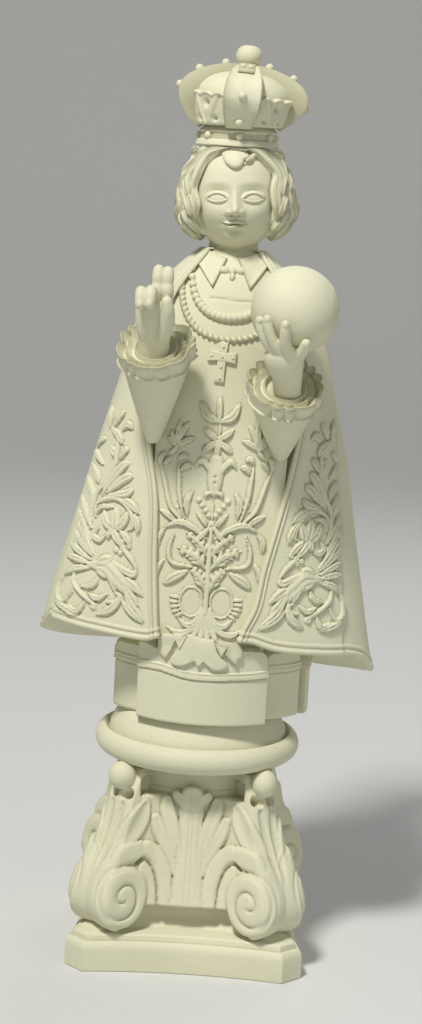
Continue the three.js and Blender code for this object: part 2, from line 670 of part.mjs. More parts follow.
function head(centre) {
  const turns = [...HEAD_TURNS, ...HEAD_TURNS.slice(1).map((turn) => 360 - turn).reverse()];
  const rings = HEAD_LIFTS.map((z) => {
    const sine = z / HEAD_HALF_HEIGHT;
    const girth = Math.sqrt(1 - sine * sine);
    const narrow = 1 - 0.2 * Math.max(-sine, 0) ** 1.5;
    return turns.map((turn) => {
      const a = (turn * Math.PI) / 180;
      const x = HEAD_HALF_WIDTH * narrow * girth * Math.sin(a);
      const ahead = Math.cos(a);
      const depth = (ahead > 0 ? HEAD_FRONT : HEAD_BACK) * girth * ahead;
      return vec(x, -depth - faceRelief(x, z) * Math.min(Math.max(ahead, 0) * 2, 1), z);
    });
  });
  return loft(rings).rotate([0, (-HEAD_TILT * 180) / Math.PI, 0]).translate([centre.x, centre.y, centre.z]);
}

// The hair's outer form: parted from the face, waved, and full at the jaw.
function hair(centre) {
  const [around, up] = [18, 7];
  const rings = [];
  const wide = track([[-26, 15], [-22, 20.5], [-15, 25.5], [-6, 29.2], [2, 28], [9, 28], [16, 24.5], [HEAD_DROP, 21]]);
  for (let i = 0; i <= up; i++) {
    const z = mix(-24.5, HEAD_DROP, i / up);
    rings.push(steps(around).map((j) => {
      const a = (j / around) * TAU;
      const turn = Math.min(a, TAU - a);
      const hairline = mix(0.86, 0.5, Math.min(Math.max((z - 6) / 18, 0), 1));
      const isFace = turn < hairline * 1.02 && z < 20.5;
      const wave = 1.1 * Math.sin(9 * a + 0.28 * z) * Math.min(Math.max((24 - z) / 8, 0), 1);
      const half = isFace ? 14 : wide(z) + wave;
      const depth = Math.cos(a) > 0 ? half * (isFace ? 1 : 0.86) : half * 1.02;
      return vec(half * Math.sin(a), -depth * Math.cos(a), z);
    }));
  }
  const parts = [loft(rings)];
  const lock = (path, radii) => limb(path.map(([x, y, z]) => vec(x, y, z)), radii, 5, 0.7);
  parts.push(
    lock([[1, -19, 24], [-3, -22.4, 20], [0.5, -24, 16.4], [4.5, -23, 18.5]], [3, 4, 2.8, 1]),
    lock([[3, -17, 20], [8, -17, 18.6], [12, -14, 21]], [1.6, 2.8, 1.6]),
  );
  for (const side of [-1, 1]) {
    for (const [h, size] of [[0, 5], [-14, 5]]) {
      parts.push(lock(
        [[side * 21, -14, h + 7], [side * 24.5, -12, h], [side * 22.5, -14.5, h - 7]],
        [size * 0.6, size, size * 0.5],
      ));
    }
  }
  return unite(parts).translate([centre.x, centre.y, centre.z]);
}

function collar() {
  const flap = (side) => {
    const corners = [[3, 224], [8.4, 211.4], [16, 221.6], [14, 228.8]];
    const outline = corners.map(([x, z]) => {
      const p = onCloak(side * x, z, -CLOAK_THICK);
      return [p, outward(onRobe, side * x, z)];
    });
    return loft([
      outline.map(([p, n]) => p.clone().addScaledVector(n, -3)),
      outline.map(([p, n]) => p.clone().addScaledVector(n, 1.6)),
    ]);
  };
  const knot = [-4, 0, 4].map((x) => ellipsoid(onRobe(x, 219.5), [2.6, 1.8, 2.2], 4, 2));
  return [flap(-1), flap(1), ...knot];
}

// A necklace as one scalloped cord that hangs in a curve over the chest.
function necklace(halfWidth, low, high, radius, beads) {
  const stations = beads * 2 + 1;
  const last = stations - 1;
  const spots = steps(stations).map((i) => {
    const t = (i / last) * 2 - 1;
    return [halfWidth * Math.sin((t * Math.PI) / 2), mix(low, high, Math.abs(t) ** 2.2)];
  });
  return loft(spots.map(([across, height], i) => {
    const normal = outward(onRobe, across, height);
    const size = radius * (i % 2 ? 1 : 0.55);
    const centre = onRobe(across, height);
    const [before, after] = [spots[Math.max(i - 1, 0)], spots[Math.min(i + 1, last)]];
    const side = vec(before[1] - after[1], 0, after[0] - before[0]).normalize();
    return [
      centre.clone().addScaledVector(side, size),
      centre.clone().addScaledVector(normal, -STROKE_SINK),
      centre.clone().addScaledVector(side, -size),
      centre.clone().addScaledVector(normal, size),
    ];
  }));
}

function cord(halfWidth, low, high, radius) {
  const points = steps(13).map((i) => {
    const t = (i / 12) * 2 - 1;
    return [halfWidth * Math.sin((t * Math.PI) / 2), mix(low, high, Math.abs(t) ** 2.2)];
  });
  return drawn(onRobe, points, radius, 6);
}

function cross() {
  const top = 185.5;
  const arm = CROSS_WIDTH * 0.16;
  const bar = (x0, x1, z0, z1) => loft([-1, 1.6].map((raise) => [
    [x0, z0], [x1, z0], [x1, z1], [x0, z1],
  ].map(([x, z]) => onRobe(x, z).add(vec(0, -raise, 0)))));
  const shift = -3;
  return [
    bar(shift - arm, shift + arm, top - CROSS_HEIGHT, top),
    bar(shift - CROSS_WIDTH / 2, shift + CROSS_WIDTH / 2, top - 0.42 * CROSS_HEIGHT, top - 0.16 * CROSS_HEIGHT),
    ellipsoid(onRobe(shift, top + 1), [1.6, 1.6, 2], 4, 2),
  ];
}

function figure() {
  const headCentre = vec(4.1, -4, FIGURE_HEIGHT - HEAD_DROP);
  const leftCuff = vec(-29.5, -57, 186);
  const rightCuff = vec(33, -56, 171);
  const globeCentre = vec(35.4, -57, 205);
  const neckPath = [vec(4.3, 0, CLOAK_TOP - 9), vec(4.3, -1, CLOAK_TOP + 3), vec(4.2, -2, headCentre.z - 9.4)];
  const neck = limb(neckPath, [14, 12, 13], 12);
  const parts = [
    robe(), cloak(), neck, head(headCentre), hair(headCentre), globe(globeCentre),
    sleeve(leftCuff, vec(-0.1, -0.57, 0.82).normalize(), vec(-29, -33, 138)),
    sleeve(rightCuff, vec(0.08, -0.6, 0.8).normalize(), vec(33, -32, 133)),
    blessingHand(vec(-29.4, -61, 185)),
    holdingHand(vec(34, -62, 172), globeCentre),
    ...collar(), necklace(19, 198, 219, BEAD_RADIUS, 8), cord(23.5, 187.5, 212, CORD_RADIUS), ...cross(),
    ...robeOrnament(),
    ...panelOrnament(leftOpening, leftPanelEdge), ...panelOrnament(rightOpening, rightPanelEdge),
  ];
  const whole = unite(parts);
  const cut = new THREE.BoxGeometry(120, 120, 60).translate(0, 0, FIGURE_HEIGHT + 30);
  return whole.subtract(toManifold(cut));
}

// Crown: band, bowl with leaf fleurons, inner cap, four arches and a ball

function crown() {
  const lip = CROWN_BAND_RADIUS;
  const bandTop = CROWN_BAND_HEIGHT;
  const bowlTop = bandTop + 15;
  const body = turned([
    [0, 0], [lip, 0], [lip, 2.2], [lip - 1.9, 2.6], [lip - 1.9, 5.6],
    [lip - 0.9, 6.4], [lip - 3, bandTop + 0.2], [lip, bandTop + 1.8],
    [CROWN_BOWL_RADIUS, bandTop + 10], [CROWN_BOWL_RADIUS - 1.2, bowlTop],
    [CROWN_BOWL_RADIUS - 4, bowlTop + 4.5], [14, CROWN_DOME_HEIGHT - 2.6], [0, CROWN_DOME_HEIGHT],
  ], 16);
  const parts = [body];
  const archPath = [
    [lip - 1, bandTop + 1], [CROWN_ARCH_REACH - 4.5, bandTop + 7], [CROWN_ARCH_REACH, bandTop + 17],
    [CROWN_ARCH_REACH - 7, bandTop + 26.5], [12, CROWN_DOME_HEIGHT + 2], [0, CROWN_DOME_HEIGHT + 3],
  ];
  const last = archPath.length - 1;
  for (let quarter = 0; quarter < 4; quarter++) {
    const rings = archPath.map(([r, z], i) => {
      const half = (CROWN_ARCH_WIDTH / 2) * Math.min(0.72 + 0.14 * i, 1, 0.55 + 0.25 * (last - i));
      const low = i > 3 ? r : r - CROWN_ARCH_THICK;
      const drop = i > 2 ? 4 : 0;
      return [vec(half, -r, z), vec(-half, -r, z), vec(-half, -low, z - drop), vec(half, -low, z - drop)];
    });
    parts.push(loft(rings).rotate([0, 0, 90 * quarter]));
    for (const i of [1, 2, 3]) {
      const [r, z] = archPath[i];
      parts.push(ellipsoid(vec(0, -r - 0.2, z + 0.3), steps(3).map(() => CROWN_BEAD_RADIUS), 4, 2)
        .rotate([0, 0, 90 * quarter]));
    }
    const leaf = [
      [-6.5, bandTop + 2], [6.5, bandTop + 2], [9, bandTop + 9], [8, bandTop + 16], [4, bandTop + 15],
      [0, bandTop + 18.2], [-4, bandTop + 15], [-8, bandTop + 16], [-9, bandTop + 9],
    ];
    const fleuron = prism(leaf, 4);
    fleuron.rotateX(Math.PI / 2);
    fleuron.translate(0, -CROWN_BOWL_RADIUS + 2.6, 0);
    const ridge = stroke(
      [bandTop + 2, bandTop + 9, bandTop + 16].map((z) => vec(0, -CROWN_BOWL_RADIUS - 1.2, z)),
      steps(3).map(() => vec(0, -1, 0)), 1.6, 1,
    );
    parts.push(unite([toManifold(fleuron), ridge]).rotate([0, 0, 90 * quarter + 45]));
  }
  for (const turn of steps(8)) {
    const a = (turn / 8) * TAU;
    parts.push(ellipsoid(vec((lip - 1.4) * Math.sin(a), -(lip - 1.4) * Math.cos(a), 4.2), [1.6, 1.6, 1.6], 4, 2));
  }
  const ballCentre = CROWN_HEIGHT - CROWN_BALL_RADIUS * 0.9;
  parts.push(
    turned([[0, CROWN_DOME_HEIGHT - 1], [4.6, CROWN_DOME_HEIGHT - 1], [4.6, CROWN_DOME_HEIGHT + 4], [3, ballCentre - 3], [0, ballCentre]], 8),
    ellipsoid(vec(0, 0, ballCentre), [CROWN_BALL_RADIUS, CROWN_BALL_RADIUS, CROWN_BALL_RADIUS * 0.9], 10, 6),
  );
  return unite(parts);
}

// Meshes

const plaster = () => new THREE.MeshStandardMaterial({ color: 0xdcd8b8, roughness: 0.82, metalness: 0 });

// The lean carries the crown's upper part towards +X.
function named(name, solid, place, lean = 0) {
  const { numProp, vertProperties, triVerts } = solid.getMesh();
  const positions = new Float32Array((vertProperties.length / numProp) * 3);
  for (let i = 0; i < positions.length / 3; i++) {
    const [x, y, z] = vertProperties.subarray(i * numProp, i * numProp + 3);
    positions.set([x + lean * z, y, z], i * 3);
  }
  const geometry = new THREE.BufferGeometry();
  geometry.setAttribute("position", new THREE.BufferAttribute(positions, 3));
  geometry.setIndex(new THREE.BufferAttribute(triVerts, 1));
  geometry.computeVertexNormals();
  const mesh = new THREE.Mesh(geometry, plaster());
  mesh.name = name;
  mesh.position.copy(place);
  return mesh;
}

const statue = new THREE.Group();
statue.add(
  named("pedestal", pedestal(), vec(0, 0, 0)),
  named("figure", figure(), vec(0, 0, FIGURE_BASE)),
  named("crown", crown(), vec(3.1, -4, CROWN_BASE), CROWN_LEAN),
);

export default statue;
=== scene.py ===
import math

import bpy
import numpy as np
from mathutils import Matrix, Vector


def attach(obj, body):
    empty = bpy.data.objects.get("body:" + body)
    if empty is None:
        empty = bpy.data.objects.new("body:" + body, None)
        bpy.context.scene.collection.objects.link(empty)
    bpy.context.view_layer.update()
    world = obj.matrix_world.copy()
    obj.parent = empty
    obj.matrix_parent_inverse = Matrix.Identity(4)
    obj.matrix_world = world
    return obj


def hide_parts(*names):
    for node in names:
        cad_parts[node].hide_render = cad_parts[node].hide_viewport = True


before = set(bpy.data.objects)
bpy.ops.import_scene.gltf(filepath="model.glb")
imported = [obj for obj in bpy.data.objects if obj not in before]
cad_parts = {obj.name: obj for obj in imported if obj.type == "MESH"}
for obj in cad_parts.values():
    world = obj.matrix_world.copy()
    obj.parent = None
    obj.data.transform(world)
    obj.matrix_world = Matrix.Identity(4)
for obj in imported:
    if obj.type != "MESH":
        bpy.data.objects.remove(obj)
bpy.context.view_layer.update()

# A cast plaster statuette: a scrolled pedestal, a robed child figure with a globe, and a crown.
# Sizes are in millimetres and meshes in metres. +Z is up and the figure faces -Y.
MM = 0.001
TAU = 2 * math.pi

PLINTH_HALF = 58.5
PLINTH_CHAMFER = 9.5
PLINTH_TOP = 15.5
PLINTH_HOLLOW = 4.5
BLOCK_CHAMFER = 8
BLOCK_TOP = 19.5
CONSOLE_REACH = 69
CONSOLE_HALF = 12.6
CONSOLE_RISE = 78
KNOB_REACH = 49.6
KNOB_HEIGHT = 94
KNOB_RADII = (6.3, 6.9, 7)
PANEL_BASE_DEPTH = 43
PANEL_TOP_DEPTH = 31
NECK_RADIUS = 34.5
NECK_BASE = 86.5
TORUS_BASE = 99.5
TORUS_TOP = 112.5
TORUS_RADIUS = 51.5
GROOVE_RADIUS = 45.5
PEDESTAL_TOP = 123.5
CUSHION_TOP_RADIUS = 38

FIGURE_BASE = 123.8
FIGURE_HEIGHT = 278.1
CLOAK_TOP = 229
CLOAK_THICK = 2.8
BORDER_WIDTH = 5
ROBE_HALF_WIDTH = 46
ROBE_HALF_DEPTH = 41
PLEAT_STEP = 2.6
GLOBE_RADIUS = 20.7
CUFF_RADIUS = 18.2
WRIST_RADIUS = 7
FINGER_RADIUS = 2.7

CROWN_BASE = 402.2
CROWN_PLACE = (3.1, -4, CROWN_BASE)
CROWN_HEIGHT = 48.2
CROWN_LEAN = 0.08
HEAD_CENTRE = np.array([4.1, -4, FIGURE_HEIGHT - 22.7])
HEAD_HALF_WIDTH = 22.5
HEAD_HALF_HEIGHT = 27.5
HEAD_FRONT = 23.5
HEAD_BACK = 26
HEAD_TILT = 0.05
FRONT_FLATNESS = 0.88
GLOBE_CENTRE = np.array([35.4, -57, 205])


# Curves and small sums


def track(pairs):
    """A smooth value between [place, value] pairs, for one place or an array of them."""
    places, values = np.array(pairs, float).T
    slopes = np.empty_like(values)
    slopes[1:-1] = (values[2:] - values[:-2]) / (places[2:] - places[:-2])
    slopes[0] = (values[1] - values[0]) / (places[1] - places[0])
    slopes[-1] = (values[-1] - values[-2]) / (places[-1] - places[-2])

    def at(where):
        x = np.clip(where, places[0], places[-1])
        i = np.clip(np.searchsorted(places, x, side="right") - 1, 0, len(places) - 2)
        gap = places[i + 1] - places[i]
        t = (x - places[i]) / gap
        t2, t3 = t * t, t * t * t
        start = (2 * t3 - 3 * t2 + 1) * values[i] + (t3 - 2 * t2 + t) * gap * slopes[i]
        return start + (3 * t2 - 2 * t3) * values[i + 1] + (t3 - t2) * gap * slopes[i + 1]

    return at


def mix(a, b, t):
    return a + (b - a) * t


def smooth_step(low, high, x):
    t = np.clip((x - low) / (high - low), 0, 1)
    return t * t * (3 - 2 * t)


def spline(points, count):
    """A smooth curve through points, as count rows."""
    points = np.array(points, float)
    if len(points) == 2:
        return mix(points[0], points[1], np.linspace(0, 1, count)[:, None])
    t = np.linspace(0, len(points) - 1, count)
    return np.stack([track(list(enumerate(column)))(t) for column in points.T], axis=1)


def unit(v):
    return v / np.maximum(np.linalg.norm(v, axis=-1, keepdims=True), 1e-9)


def bell(x, width):
    return np.exp(-((x / width) ** 2))


def bump(x, z, centre_x, centre_z, width, height):
    return bell(x - centre_x, width) * bell(z - centre_z, height)


def angles(count):
    return np.arange(count) / count * TAU


def mirrored(half):
    """The other half of an outline, mirrored across its middle and in the outline's order."""
    return [(-x, y) for x, y in half[::-1]]


def turned_about_z(points, degrees):
    a = math.radians(degrees)
    turn = np.array([[math.cos(a), -math.sin(a), 0], [math.sin(a), math.cos(a), 0], [0, 0, 1]])
    return points @ turn.T


# Meshes


class Shape:
    """Vertices and faces of one piece, gathered from several closed bodies."""

    def __init__(self):
        self.points = []
        self.faces = []
        self.count = 0

    def add(self, points, faces):
        self.points.append(np.asarray(points, float))
        self.faces.extend([tuple(i + self.count for i in face) for face in faces])
        self.count += len(points)
        return self

    def join(self, other):
        return self.add(np.concatenate(other.points), other.faces)

    def moved(self, offset=(0, 0, 0), degrees=0):
        points = turned_about_z(np.concatenate(self.points), degrees) + np.array(offset, float)
        return Shape().add(points, self.faces)


def grid_faces(rows, cols, closed=True):
    i, j = np.meshgrid(np.arange(rows - 1), np.arange(cols if closed else cols - 1), indexing="ij")
    a = i * cols + j
    b = i * cols + (j + 1) % cols
    return np.stack([a, b, b + cols, a + cols], axis=-1).reshape(-1, 4).tolist()


def loft(rings):
    """A closed body through rings of equally many points, with a fan over each end."""
    rings = np.asarray(rings, float)
    rows, cols = rings.shape[:2]
    points = np.concatenate([rings.reshape(-1, 3), [rings[0].mean(axis=0), rings[-1].mean(axis=0)]])
    faces = grid_faces(rows, cols)
    low, high, top = rows * cols, rows * cols + 1, (rows - 1) * cols
    for j in range(cols):
        after = (j + 1) % cols
        faces.append([low, after, j])
        faces.append([high, top + j, top + after])
    return Shape().add(points, faces)


def ring_of(radius, z, a):
    """A level ring about the Z axis, at angles that count from the front."""
    radius = np.broadcast_to(radius, a.shape)
    return np.stack([radius * np.sin(a), -radius * np.cos(a), np.full_like(a, z)], axis=1)


def lathe(profile, segments):
    """A body turned about the Z axis from pairs of radius and height, from the bottom up."""
    return loft([ring_of(radius, z, angles(segments)) for radius, z in profile])


def ball(centre, radii, around, up):
    lifts = np.cos(np.linspace(math.pi * 0.97, math.pi * 0.03, up))
    radii = np.broadcast_to(radii, 3)
    return loft([ring_of(math.sqrt(1 - c * c), c, angles(around)) * radii + centre for c in lifts])


def rings_round(path, side, over, radius, a):
    """Rings round a path, with a radius for each of its points and angles."""
    sideways = side[:, None] * np.cos(a)[None, :, None]
    upward = over[:, None] * np.sin(a)[None, :, None]
    return path[:, None] + radius[..., None] * (sideways + upward)


def tube(points, radii, around, flat=1, count=30, lead=(1, 0, 0), ridges=0, ridge=0):
    """A rounded tube along a smooth curve, with an optional flattened or ridged section."""
    path = spline(points, count)
    size = track(list(enumerate(radii)))(np.linspace(0, len(radii) - 1, count))
    lead = np.array(lead, float)
    along = unit(np.gradient(path, axis=0))
    side = unit(lead - along * (along @ lead)[:, None])
    a = angles(around)
    bumps = 1 + ridge * np.cos(ridges * a)
    return loft(rings_round(path, side, flat * np.cross(side, along), size[:, None] * bumps, a))


def closed_curve(points, count):
    """A smooth closed outline through points."""
    points = np.array(points, float)
    round_trip = np.concatenate([points[-2:], points, points[:3]])
    t = np.linspace(2, len(points) + 2, count, endpoint=False)
    return np.stack([track(list(enumerate(column)))(t) for column in round_trip.T], axis=1)


def polygon(points, per_side=8):
    """A closed outline with straight sides."""
    points = np.array(points, float)
    shares = np.linspace(0, 1, per_side, endpoint=False)
    return np.array([mix(points[i - 1], points[i], t) for i in range(len(points)) for t in shares])


def slab(outline, place, profile):
    """A raised plate on a surface: rings shrink towards the outline's middle and rise by the profile."""
    middle = outline.mean(axis=0)
    rings = []
    for share, lift in profile:
        spots = middle + (outline - middle) * share
        rings.append(place(spots[:, 0], spots[:, 1], lift))
    return loft(rings)


def add_piece(name, node, shape, offset=(0, 0, 0), crisp=50):
    """Makes one piece of the part that stands for a node of the frame."""
    points = (np.concatenate(shape.points) + np.array(offset, float)) * MM
    mesh = bpy.data.meshes.new(name)
    mesh.from_pydata(points.tolist(), [], shape.faces)
    mesh.validate()
    mesh.materials.append(PLASTER)
    mesh.shade_smooth()
    mesh.set_sharp_from_angle(angle=math.radians(crisp))
    obj = bpy.data.objects.new(name, mesh)
    bpy.context.scene.collection.objects.link(obj)
    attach(obj, "root")
    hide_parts(node)


SKIN_VOXEL = 0.39
SKIN_ROUNDS = 2


def fused(shape):
    """One skin round bodies that overlap, a little softened."""
    mesh = bpy.data.meshes.new("fusing")
    mesh.from_pydata((np.concatenate(shape.points) * MM).tolist(), [], shape.faces)
    obj = bpy.data.objects.new("fusing", mesh)
    bpy.context.scene.collection.objects.link(obj)
    remesh = obj.modifiers.new("skin", "REMESH")
    remesh.mode = "VOXEL"
    remesh.voxel_size = SKIN_VOXEL * MM
    soften = obj.modifiers.new("soften", "SMOOTH")
    soften.factor = 0.5
    soften.iterations = SKIN_ROUNDS
    done = obj.evaluated_get(bpy.context.evaluated_depsgraph_get()).to_mesh()
    points = np.empty(len(done.vertices) * 3)
    done.vertices.foreach_get("co", points)
    faces = [tuple(face.vertices) for face in done.polygons]
    bpy.data.objects.remove(obj)
    bpy.data.meshes.remove(mesh)
    return Shape().add(points.reshape(-1, 3) / MM, faces)


# Carving


def swell(count, tips):
    """Shares of the full width along a stroke whose ends have the shares that tips holds."""
    t = np.linspace(0, 1, count)

    def from_tip(tip, way):
        return mix(tip, 1, np.sin(np.clip(way / 0.45, 0, 1) * math.pi / 2))

    return np.minimum(from_tip(tips[0], t), from_tip(tips[1], 1 - t))


class Relief:
    """Carving on a grid of points: strokes raise it and grooves sink it along the normals."""

    def __init__(self, grid):
        self.grid = grid
        across = np.gradient(grid, axis=1)
        up = np.gradient(grid, axis=0)
        self.normals = unit(np.cross(across, up))
        self.points = grid.reshape(-1, 3)
        self.lift = np.zeros(len(self.points))

    def near(self, spots, widths, beyond=1):
        """The grid points within reach of spots, their distance in half widths and their nearest spot."""
        reach = widths.max() * beyond
        inside = np.all((self.points > spots.min(0) - reach) & (self.points < spots.max(0) + reach), axis=1)
        picked = np.flatnonzero(inside)
        gaps = np.linalg.norm(self.points[picked, None] - spots[None], axis=2) / widths[None]
        return picked, gaps.min(axis=1), gaps.argmin(axis=1)

    def trace(self, path, half_width, tips):
        """Spots along a path with the half width at each: one width that tapers, or a list of them."""
        rough = spline(path, 12)
        length = np.linalg.norm(np.diff(rough, axis=0), axis=1).sum()
        count = int(np.clip(length / (0.3 * np.mean(half_width)), 8, 90))
        spots = spline(path, count)
        if np.ndim(half_width) > 0:
            return spots, spline(np.array(half_width, float)[:, None], count)[:, 0]
        return spots, half_width * swell(count, tips)

    def stroke(self, path, half_width, rise, tips=(0.3, 0.15), vein=0, hollow=0, crease=0.35):
        """A domed stroke on the surface with a crease round it, and an optional mid vein or hollow."""
        spots, widths = self.trace(path, half_width, tips)
        rim = 1 + 0.5 / widths.max()
        picked, gap, nearest = self.near(spots, widths, rim)
        round_it = (gap >= 1) & (gap < rim)
        self.lift[picked[round_it]] -= crease * (rim - gap[round_it]) / (rim - 1)
        keep = gap < 1
        picked, gap, size = picked[keep], gap[keep], widths[nearest[keep]] / widths.max()
        dome = np.sqrt(1 - gap**3) - vein * bell(gap, 0.2) - hollow * (1 - gap**2) ** 1.3
        self.lift[picked] = np.maximum(self.lift[picked], rise * mix(0.4, 1, size) * dome)

    def groove(self, path, half_width, depth, tips=(0.4, 0.4)):
        spots, widths = self.trace(path, half_width, tips)
        picked, gap, nearest = self.near(spots, widths)
        keep = gap < 1
        size = widths[nearest[keep]] / widths.max()
        self.lift[picked[keep]] -= depth * size * (1 - gap[keep] ** 2)

    def cap(self, centre, radius):
        """The grid points on a round patch, and the share of a half ball's height at each."""
        picked, gap, _ = self.near(np.array([centre]), np.array([radius]))
        keep = gap < 1
        return picked[keep], np.sqrt(1 - gap[keep] ** 2)

    def dome(self, centre, radius, rise):
        picked, share = self.cap(centre, radius)
        self.lift[picked] = np.maximum(self.lift[picked], rise * share)

    def pit(self, centre, radius, depth):
        picked, share = self.cap(centre, radius)
        self.lift[picked] -= depth * share

    def result(self, extra=0):
        lift = self.lift.reshape(self.grid.shape[:2]) + extra
        return self.grid + self.normals * lift[..., None]


# Plaster


WHITE = (1, 1, 1)


def plaster_material():
    """Matt off-white cast plaster: faint patches, fine grain, small pits, and painted shade that darkens its
    hollows.
    """
    made = bpy.data.materials.new("plaster")
    made.use_nodes = True
    nodes, links = made.node_tree.nodes, made.node_tree.links
    shader = nodes["Principled BSDF"]
    place = nodes.new("ShaderNodeTexCoord").outputs["Object"]

    def noise(scale, detail, roughness=0.5):
        node = nodes.new("ShaderNodeTexNoise")
        node.inputs["Scale"].default_value = scale
        node.inputs["Detail"].default_value = detail
        node.inputs["Roughness"].default_value = roughness
        links.new(place, node.inputs["Vector"])
        return node.outputs["Fac"]

    def ramp(source, stops):
        node = nodes.new("ShaderNodeValToRGB")
        for element, (at, colour) in zip(node.color_ramp.elements, stops):
            element.position = at
            element.color = (*colour, 1)
        links.new(source, node.inputs["Fac"])
        return node.outputs["Color"]

    def multiplied(amount, under, over):
        node = nodes.new("ShaderNodeMix")
        node.data_type = "RGBA"
        node.blend_type = "MULTIPLY"
        node.inputs["Factor"].default_value = amount
        links.new(under, node.inputs["A"])
        links.new(over, node.inputs["B"])
        return node.outputs["Result"]

    def raised(source, strength, distance):
        node = nodes.new("ShaderNodeBump")
        node.inputs["Strength"].default_value = strength
        node.inputs["Distance"].default_value = distance
        links.new(source, node.inputs["Height"])
        return node

    colour = ramp(noise(14, 3), [(0.3, (0.63, 0.62, 0.45)), (0.7, (0.70, 0.69, 0.51))])
    grain = ramp(noise(900, 4, 0.65), [(0.3, (0.86, 0.86, 0.84)), (0.62, WHITE)])
    colour = multiplied(0.4, colour, grain)
    specks = ramp(noise(330, 2), [(0.24, (0.66, 0.64, 0.54)), (0.29, WHITE)])
    colour = multiplied(0.4, colour, specks)
    # Painted shade: hollows and creases, found by the mesh's pointiness, are darkened towards olive grey.
    pointiness = nodes.new("ShaderNodeNewGeometry").outputs["Pointiness"]
    painted_hollow_shade = ramp(pointiness, [(0.40, (0.42, 0.40, 0.30)), (0.495, WHITE)])
    colour = multiplied(0.75, colour, painted_hollow_shade)
    links.new(colour, shader.inputs["Base Color"])
    shader.inputs["Roughness"].default_value = 0.7
    shader.inputs["Specular IOR Level"].default_value = 0.35

    rough = raised(noise(160, 5, 0.6), 0.2, 0.0005)
    pitted = raised(ramp(noise(330, 2), [(0.24, (0, 0, 0)), (0.31, WHITE)]), 0.35, 0.0003)
    links.new(rough.outputs["Normal"], pitted.inputs["Normal"])
    links.new(pitted.outputs["Normal"], shader.inputs["Normal"])
    return made


PLASTER = plaster_material()


# The cloak's and the robe's outer faces: heights are measured from the underside of the robe

# Each size by height, and the openings' and panels' edges as places across from the axis.
cloak_half_width = track([
    (0, 90), (35, 84), (64, 78), (90, 72), (131, 63), (167, 53.5), (187, 49), (202, 43), (215, 33),
    (223, 25), (229, 18),
])
cloak_front = track([
    (0, 47.5), (35, 47), (90, 43.5), (131, 40.5), (167, 38), (187, 36), (202, 32), (215, 26.5), (223, 21),
    (229, 16),
])
cloak_back = track([
    (0, 55), (35, 52), (90, 46), (131, 41), (167, 36.5), (187, 34), (202, 30), (215, 25), (223, 20),
    (229, 16),
])
axis_x = track([(0, 3.4), (35, 1.2), (64, 1.6), (90, 2.8), (131, 4.5), (167, 5), (229, 4.5)])
left_opening = track([
    (35, -21), (44, -22), (80, -25.8), (110, -28.6), (138, -35), (162, -38), (187, -33), (207, -26.5),
    (229, -11.3),
])
right_opening = track([
    (35, 15.5), (44, 17.5), (58, 22.8), (78, 25.4), (110, 31), (140, 35.4), (162, 36.5), (187, 33),
    (207, 26.5), (229, 12.1),
])
left_panel_edge = track([
    (35, -76), (52, -75), (97, -68), (131, -60.5), (167, -50), (187, -45), (229, -15.2),
])
right_panel_edge = track([(30, 69.5), (66, 66), (97, 62), (124, 57), (165, 51.5), (187, 46), (229, 15.6)])
# The hem's height by the angle from the front towards +X, in degrees
hem = track([
    (-180, 18), (-130, 24), (-93, 33.5), (-80, 38), (-72, 44), (-50, 42), (-32, 40.5), (-25, 42.5),
    (25, 42.5), (38, 38.5), (52, 36), (70, 32), (84, 25), (93, 21.5), (130, 16), (180, 18),
])


def on_cloak(across, height, lift=0):
    """A point of the cloak's front face at a sideways distance from its axis."""
    across, height = np.broadcast_arrays(np.asarray(across, float), np.asarray(height, float))
    wide = cloak_half_width(height) + lift
    share = np.minimum(np.abs(across) / wide, 0.999)
    depth = (cloak_front(height) + lift) * np.sqrt(1 - share * share)
    return np.stack([axis_x(height) + across, -depth, height], axis=-1)


def on_robe(across, height):
    return on_cloak(across, height, -CLOAK_THICK)


def robe_normal(across, height):
    """The direction straight out of the robe's face."""
    step = 0.5
    along = on_robe(across + step, height) - on_robe(across - step, height)
    up = on_robe(across, height + step) - on_robe(across, height - step)
    return unit(np.cross(along, up))


# The cloak

# Lift across the border of an opening, by share of its width, and of the hem, by height above it.
roll_and_fillet = track([
    (0, 0), (0.05, 0.8), (0.2, 1.3), (0.36, 0.9), (0.44, 0.2), (0.54, 0.2), (0.6, 0.75), (0.72, 0.75),
    (0.8, 0.1), (1, 0),
])
hem_lines = track([
    (0, -0.7), (0.5, 0.3), (1.6, 0.75), (2.6, 0.3), (3.0, 0), (3.7, 0), (4.1, 0.5), (5.2, 0.5), (5.8, 0),
    (7, 0),
])
HEM_BAND = 7
HEM_MIDDLE = 40
BACK_INSET = 1.2
BORDER_COLUMNS = 15
PANEL_COLUMNS = 98
BACK_COLUMNS = 74


def panel_columns(opening, edge, side, border):
    """A front panel's columns from its turned-in edge outwards: place across, depth and ornament."""
    columns = [(opening - side * 1.5, -2 * CLOAK_THICK, 0), (opening - side * 0.1, -CLOAK_THICK, 0)]
    for b in np.linspace(0, 1, BORDER_COLUMNS):
        columns.append((opening + side * b * border, 0, roll_and_fillet(b)))
    for t in np.linspace(0.01, 1, PANEL_COLUMNS):
        columns.append((mix(opening + side * border, edge, t), 0, 0))
    return [*columns, (edge + side * 0.2, -BACK_INSET, 0)]


